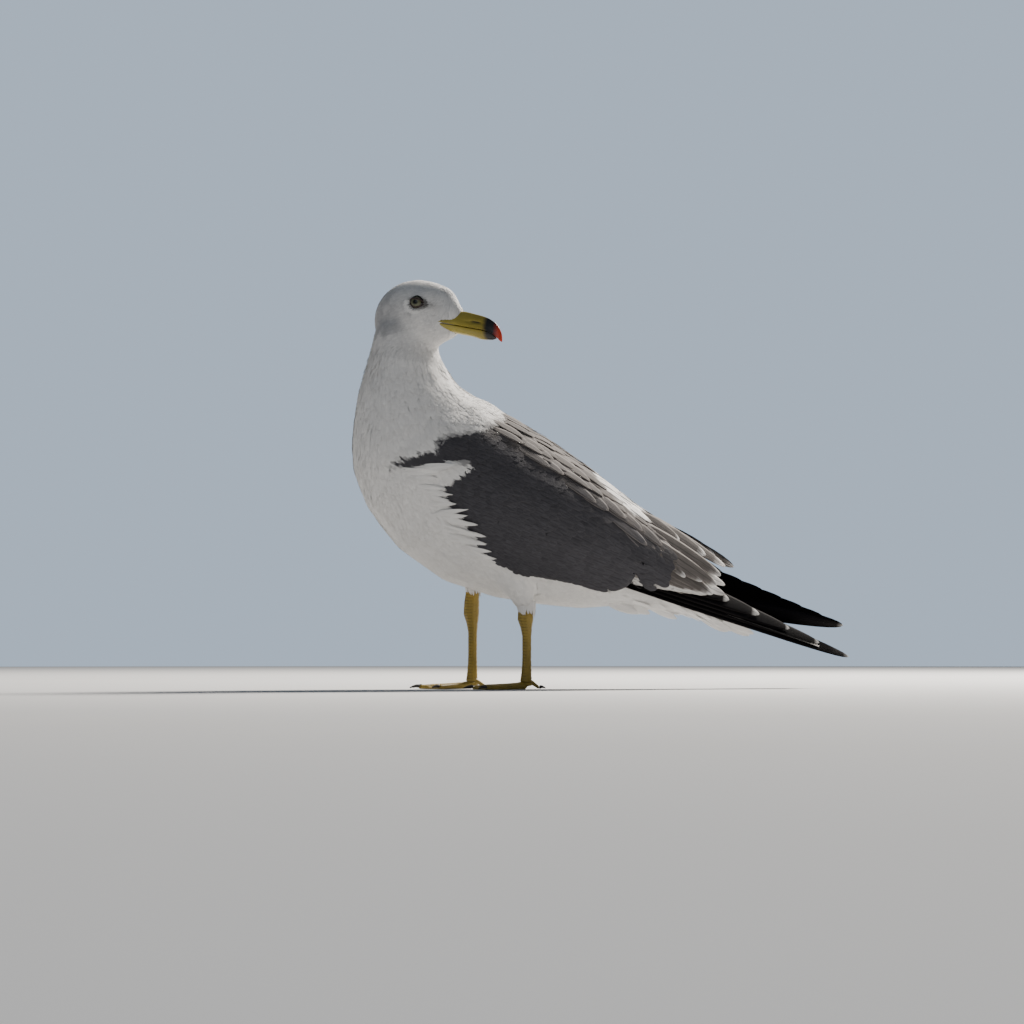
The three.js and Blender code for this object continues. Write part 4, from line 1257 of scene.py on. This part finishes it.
for name, rows, upper in (("upper", UPPER_BILL, True), ("lower", LOWER_BILL, False)):
    # each sheath is drawn out of a ball, ring by ring, along the head's own line
    piece, ball = new_round(
        f"{name}_bill", bpy.ops.mesh.primitive_uv_sphere_add, segments=56, ring_count=96, radius=1
    )
    share = np.arccos(np.clip(ball[:, 2], -1, 1)) / math.pi
    share = between(share, (1 - np.cos(share * math.pi)) / 2, 0.35)
    open_by = np.minimum(1, np.sqrt(np.clip(1 - ball[:, 2] ** 2, 0, 1)) * 3.2) ** 0.7
    turn = np.arctan2(ball[:, 1], ball[:, 0])
    x, top, bottom, half = smooth_rows(rows, share).T
    rise, out = np.cos(turn), np.sin(turn)
    # the upper ridge is narrow and rounded, and the cutting edge is sharp
    narrow = np.where(rise > 0, 1 - 0.5 * np.abs(rise) ** 1.6, 1.0) if upper else 1.0
    widest = 0.07 if upper else 0.93
    level = np.where(rise > 0, widest + (1 - widest) * rise, widest * (1 + rise))
    z = bottom + (top - bottom) * (0.5 + (level - 0.5) * open_by)
    y = half * open_by * out * narrow
    slot = np.zeros(len(x))
    if upper:
        beside = np.stack([x, np.abs(y), z], 1)
        slot = bump_at(beside, NOSTRIL, (11.0, 3.0, 1.15))
        y -= np.sign(y) * (2.0 * slot - 0.35 * bump_at(beside, NOSTRIL, (13.0, 3.0, 2.3)))
        groove = np.exp(-(((z - (-0.4 + 0.02 * (x - 46))) / 0.7) ** 2)) * soft_step(34, 44, x)
        y -= np.sign(y) * 0.16 * groove * soft_step(76, 66, x)
    mark_corners(piece, "Reach", x + 0.22 * (z + 2))
    # where the nostril is painted near-black as painted shade
    mark_corners(piece, "nostril_shade", soft_step(0.45, 0.85, slot))
    places = from_head(np.stack([x, y, z], 1))
    finish_round(piece, places, bill_material, "bill_horn", f"bill_{name}")


# ---------- Eyes and lids ----------
# Glass eyes set in the sockets: a pale olive iris round a dark pupil, under a clear dome. The bare
# lid is a narrow dark red oval rim.
EYE_RADIUS = 6.5
OPENING = (5.2, 3.6)  # half length and half height of the open eye

# Eye glass: clear, with a low polish, over an iris flecked every 0.7 mm.
paint = Paint("glass_eye")
flecks = paint.noise(0.7)
wander = paint.sum("MULTIPLY_ADD", flecks, 2.5, paint.read("Angle"))
rings = paint.bands(
    paint.level(wander, From_Max=60.0),
    (0.0, "#060606"), (0.225, "#060605"), (0.26, "#3f3f2c"), (0.40, "#60614a"),
    (0.60, "#585840"), (0.72, "#2c2818"), (0.78, "#0d0b09"), (1.0, "#0e0c0a"),
)
eye_material = paint.finish(
    Base_Color=paint.scaled(rings, paint.level(flecks, 0.7, 1.25)), Roughness=0.25,
    Coat_Weight=0.5, Coat_Roughness=0.03, Specular_IOR_Level=0.2,
)

# Lid skin: bare, finely wrinkled every 0.4 mm, dark red.
paint = Paint("bare_eyelid_skin")
wrinkle = paint.noise(0.4)
lid_material = paint.finish(
    Base_Color=paint.mix(wrinkle, "#1c1211", "#3a1d18"), Normal=paint.bump(wrinkle, 0.5, 0.1),
    Roughness=0.55,
)

for name, side in (("left", 1), ("right", -1)):
    centre = from_head(EYE_PLACE * (1, side, 1) - (0, side * 0.25, 0))
    look = unit(np.array([0.22, 0.97 * side, 0.08]) @ HEAD_AXES.T)
    ahead = unit(HEAD_AXES[:, 0] - look * (HEAD_AXES[:, 0] @ look))
    above = np.cross(look, ahead)
    above = above if above[2] > 0 else -above
    axes = np.array([ahead, above, look])
    eye, ball = new_round(
        f"{name}_eye", bpy.ops.mesh.primitive_uv_sphere_add, segments=72, ring_count=54, radius=1
    )
    away = np.degrees(np.arccos(np.clip(ball[:, 2], -1, 1)))
    dome = 1 + 0.035 * soft_step(46, 20, away)
    mark_corners(eye, "Angle", away)
    places = centre + EYE_RADIUS * dome[:, None] * (ball @ axes)
    finish_round(eye, places, eye_material, "eyeball", f"eye_{name}")

    lid, rim = new_round(
        f"{name}_eyelid", bpy.ops.mesh.primitive_torus_add, major_segments=72, minor_segments=14,
        major_radius=1.0, minor_radius=0.25,
    )
    turn = np.arctan2(rim[:, 1], rim[:, 0])
    outward = np.hypot(rim[:, 0], rim[:, 1]) - 1.0
    upper = soft_step(-0.2, 0.9, np.sin(turn))
    wide = OPENING[0] * np.cos(turn) * (1 + 0.14 * np.abs(np.cos(turn)) ** 8)
    tall = OPENING[1] * np.sin(turn) * (1 - 0.26 * upper)
    radius = np.hypot(wide, tall)
    thick = 1.5 + 1.2 * upper
    slope = np.sqrt(np.maximum((EYE_RADIUS + 0.15) ** 2 - radius**2, 0.1))
    reach = 1 + outward * thick * 1.15 / radius
    depth = slope + rim[:, 2] * thick - outward * 0.9
    places = centre + np.stack([wide * reach, tall * reach, depth], 1) @ axes
    finish_round(lid, places, lid_material, "leg_skin")


# ---------- Legs and feet ----------
# Bare yellow skin with broad overlapping plates down the front of the shank and the tops of the
# toes, small round scales elsewhere, and thin folded webs between the toes.

# Leg skin: tough and waxy; scales 1.1 mm across, drawn by their dark joints.
paint = Paint("scaled_leg_skin")
joint = paint.level(
    paint.add(
        "TexVoronoi", {"feature": "DISTANCE_TO_EDGE"}, "Distance",
        Vector=paint.add("TexCoord", out="Object"), Scale=1 / (1.1 * MM),
    ),
    From_Max=0.16,
)
tone = paint.mix(paint.noise(9, 3.0), "#857024", "#b09236")
seam = paint.mix(paint.read("Seam"), tone, "#4f4114")
leg_material = paint.finish(
    Base_Color=paint.scaled(seam, paint.level(joint, 0.72, 1.0)),
    Normal=paint.bump(joint, 0.5, 0.12), Roughness=0.48,
)

# Claw horn: dark, smooth, slightly polished by use.
paint = Paint("claw_keratin")
cloud = paint.noise(1.5, 3.0)
claw_material = paint.finish(
    Base_Color=paint.mix(cloud, "#0f0d0c", "#3a312a"), Normal=paint.bump(cloud, 0.2, 0.1),
    Roughness=0.35,
)
FLOOR_LEVEL = 0.02


def limb(name, node, grid, rounds, material, slot, carve=None):
    """A fine smooth copy of a leg solid, with its plates carved into it."""
    piece = smooth_form(name, [node], grid * MM, rounds, swell=0.1 * MM)
    places, normals = read_rows(piece, "co") / MM, read_rows(piece, "normal")
    seam = np.zeros(len(places))
    if carve:
        cut, seam = carve(places, normals)
        places = places - normals * cut[:, None]
    places[:, 2] = np.maximum(places[:, 2], FLOOR_LEVEL)
    move_corners(piece, places)
    mark_corners(piece, "Seam", seam)
    finish_piece(piece, material, slot, node)


def fold_lines(wave, width):
    """A narrow fold at the middle of each wave."""
    return np.exp(-(((wave % 1) - 0.5) ** 2) / width)


def shank_plates(places, normals):
    """Broad plates down the front, a fold each 2.3 mm, and knobs at the joint."""
    front = soft_step(-0.1, 0.5, -normals[:, 0])
    fold = fold_lines((places[:, 2] + 0.5 * normals[:, 1] ** 2) / 2.3, 0.012)
    rough = mottle(places, 3.0, 77)
    return 0.22 * fold * front - 0.12 * rough * (1 - front), 0.75 * fold * front


for name, centre, out in (("left", (17, -25), -1), ("right", (-12.5, 25), 1)):

    def toe_plates(places, normals):
        """Small plates over each toe, and shallow folds in the webs between them."""
        off = places[:, :2] - BODY_SHIFT[:2] - centre
        away = np.hypot(off[:, 0], off[:, 1])
        turn = np.degrees(np.arctan2(off[:, 1] * out, -off[:, 0]))
        toe_gap = np.min(np.abs(turn[:, None] - np.array([-24, 0, 24])), axis=1)
        on_toe = soft_step(7, 3, toe_gap * away / 57.3 * 2.2) * soft_step(6, 9, away)
        fold = fold_lines(away / 1.9, 0.014) * on_toe * (normals[:, 2] > 0)
        ripple = np.sin(turn * 0.9) * (1 - on_toe) * soft_step(10, 20, away) * (normals[:, 2] > 0.5)
        return 0.16 * fold + 0.10 * ripple, 0.6 * fold

    limb(f"{name}_shank", f"shank_{name}", 0.5, 7, leg_material, "leg_skin", shank_plates)
    limb(f"{name}_foot", f"foot_{name}", 0.55, 4, leg_material, "leg_skin", toe_plates)
    for toe in ("inner", "middle", "outer", "hind"):
        limb(f"{name}_{toe}_claw", f"claw_{name}_{toe}", 0.22, 5, claw_material, "claw_horn")


# ---------- Floor, lamps and camera ----------
# A plain pale floor under soft studio light, brighter from the upper right.
bpy.ops.mesh.primitive_circle_add(vertices=96, radius=3.4, fill_type="NGON", location=(0, 0, -0.0002))
floor = bpy.context.object
floor.name = "floor"
# Floor paint: matt, with faint clouds, and paler far off as painted light where the lamps fall off.
paint = Paint("matt_floor_paint")
place = paint.add("TexCoord", out="Object")
tone = paint.level(paint.add("TexNoise", Vector=place, Scale=3.0), 0.60, 0.64)
far_off = paint.add("VectorMath", {"operation": "LENGTH"}, "Value", i0=place)
painted_far_light = paint.level(far_off, 0.0, 0.34, From_Min=1.0, From_Max=3.2)
floor.data.materials.append(
    paint.finish(Base_Color=paint.sum("ADD", tone, painted_far_light), Roughness=0.95)
)

world = bpy.data.worlds.new("studio_air")
bpy.context.scene.world = world
world.use_nodes = True
air = world.node_tree
seen = add_node(air, "LightPath", out="Is Camera Ray")
strength = add_node(air, "MapRange", Value=seen, To_Min=0.17, To_Max=0.8)
fill_inputs(air, air.nodes["Background"], {"Color": (0.58, 0.71, 0.88, 1), "Strength": strength})


def place_and_aim(name, data, place, aim):
    """Adds a lamp or a camera at a place, turned towards another."""
    holder = bpy.data.objects.new(name, data)
    bpy.context.scene.collection.objects.link(holder)
    holder.location = place
    holder.rotation_mode = "QUATERNION"
    holder.rotation_quaternion = (Vector(aim) - Vector(place)).to_track_quat("-Z", "Y")
    return holder


for name, place, size, power, colour in (
    ("key_lamp", (1.25, 0.85, 1.75), 0.6, 165, (1.0, 0.94, 0.86)),
    ("fill_lamp", (-1.6, -1.9, 1.2), 1.6, 5, (0.86, 0.92, 1.0)),
):
    lamp = bpy.data.lights.new(name, "AREA")
    lamp.size, lamp.energy, lamp.color = size, power, colour
    place_and_aim(name, lamp, place, (0, 0, 0.14))

lens = bpy.data.cameras.new("camera")
lens.sensor_width, lens.lens = 36, 115.1
lens.clip_start, lens.clip_end = 0.05, 50
bpy.context.scene.camera = place_and_aim(
    "camera", lens, (-0.7207, -2.4145, 0.0303), (-0.0742, -0.0017, 0.135)
)
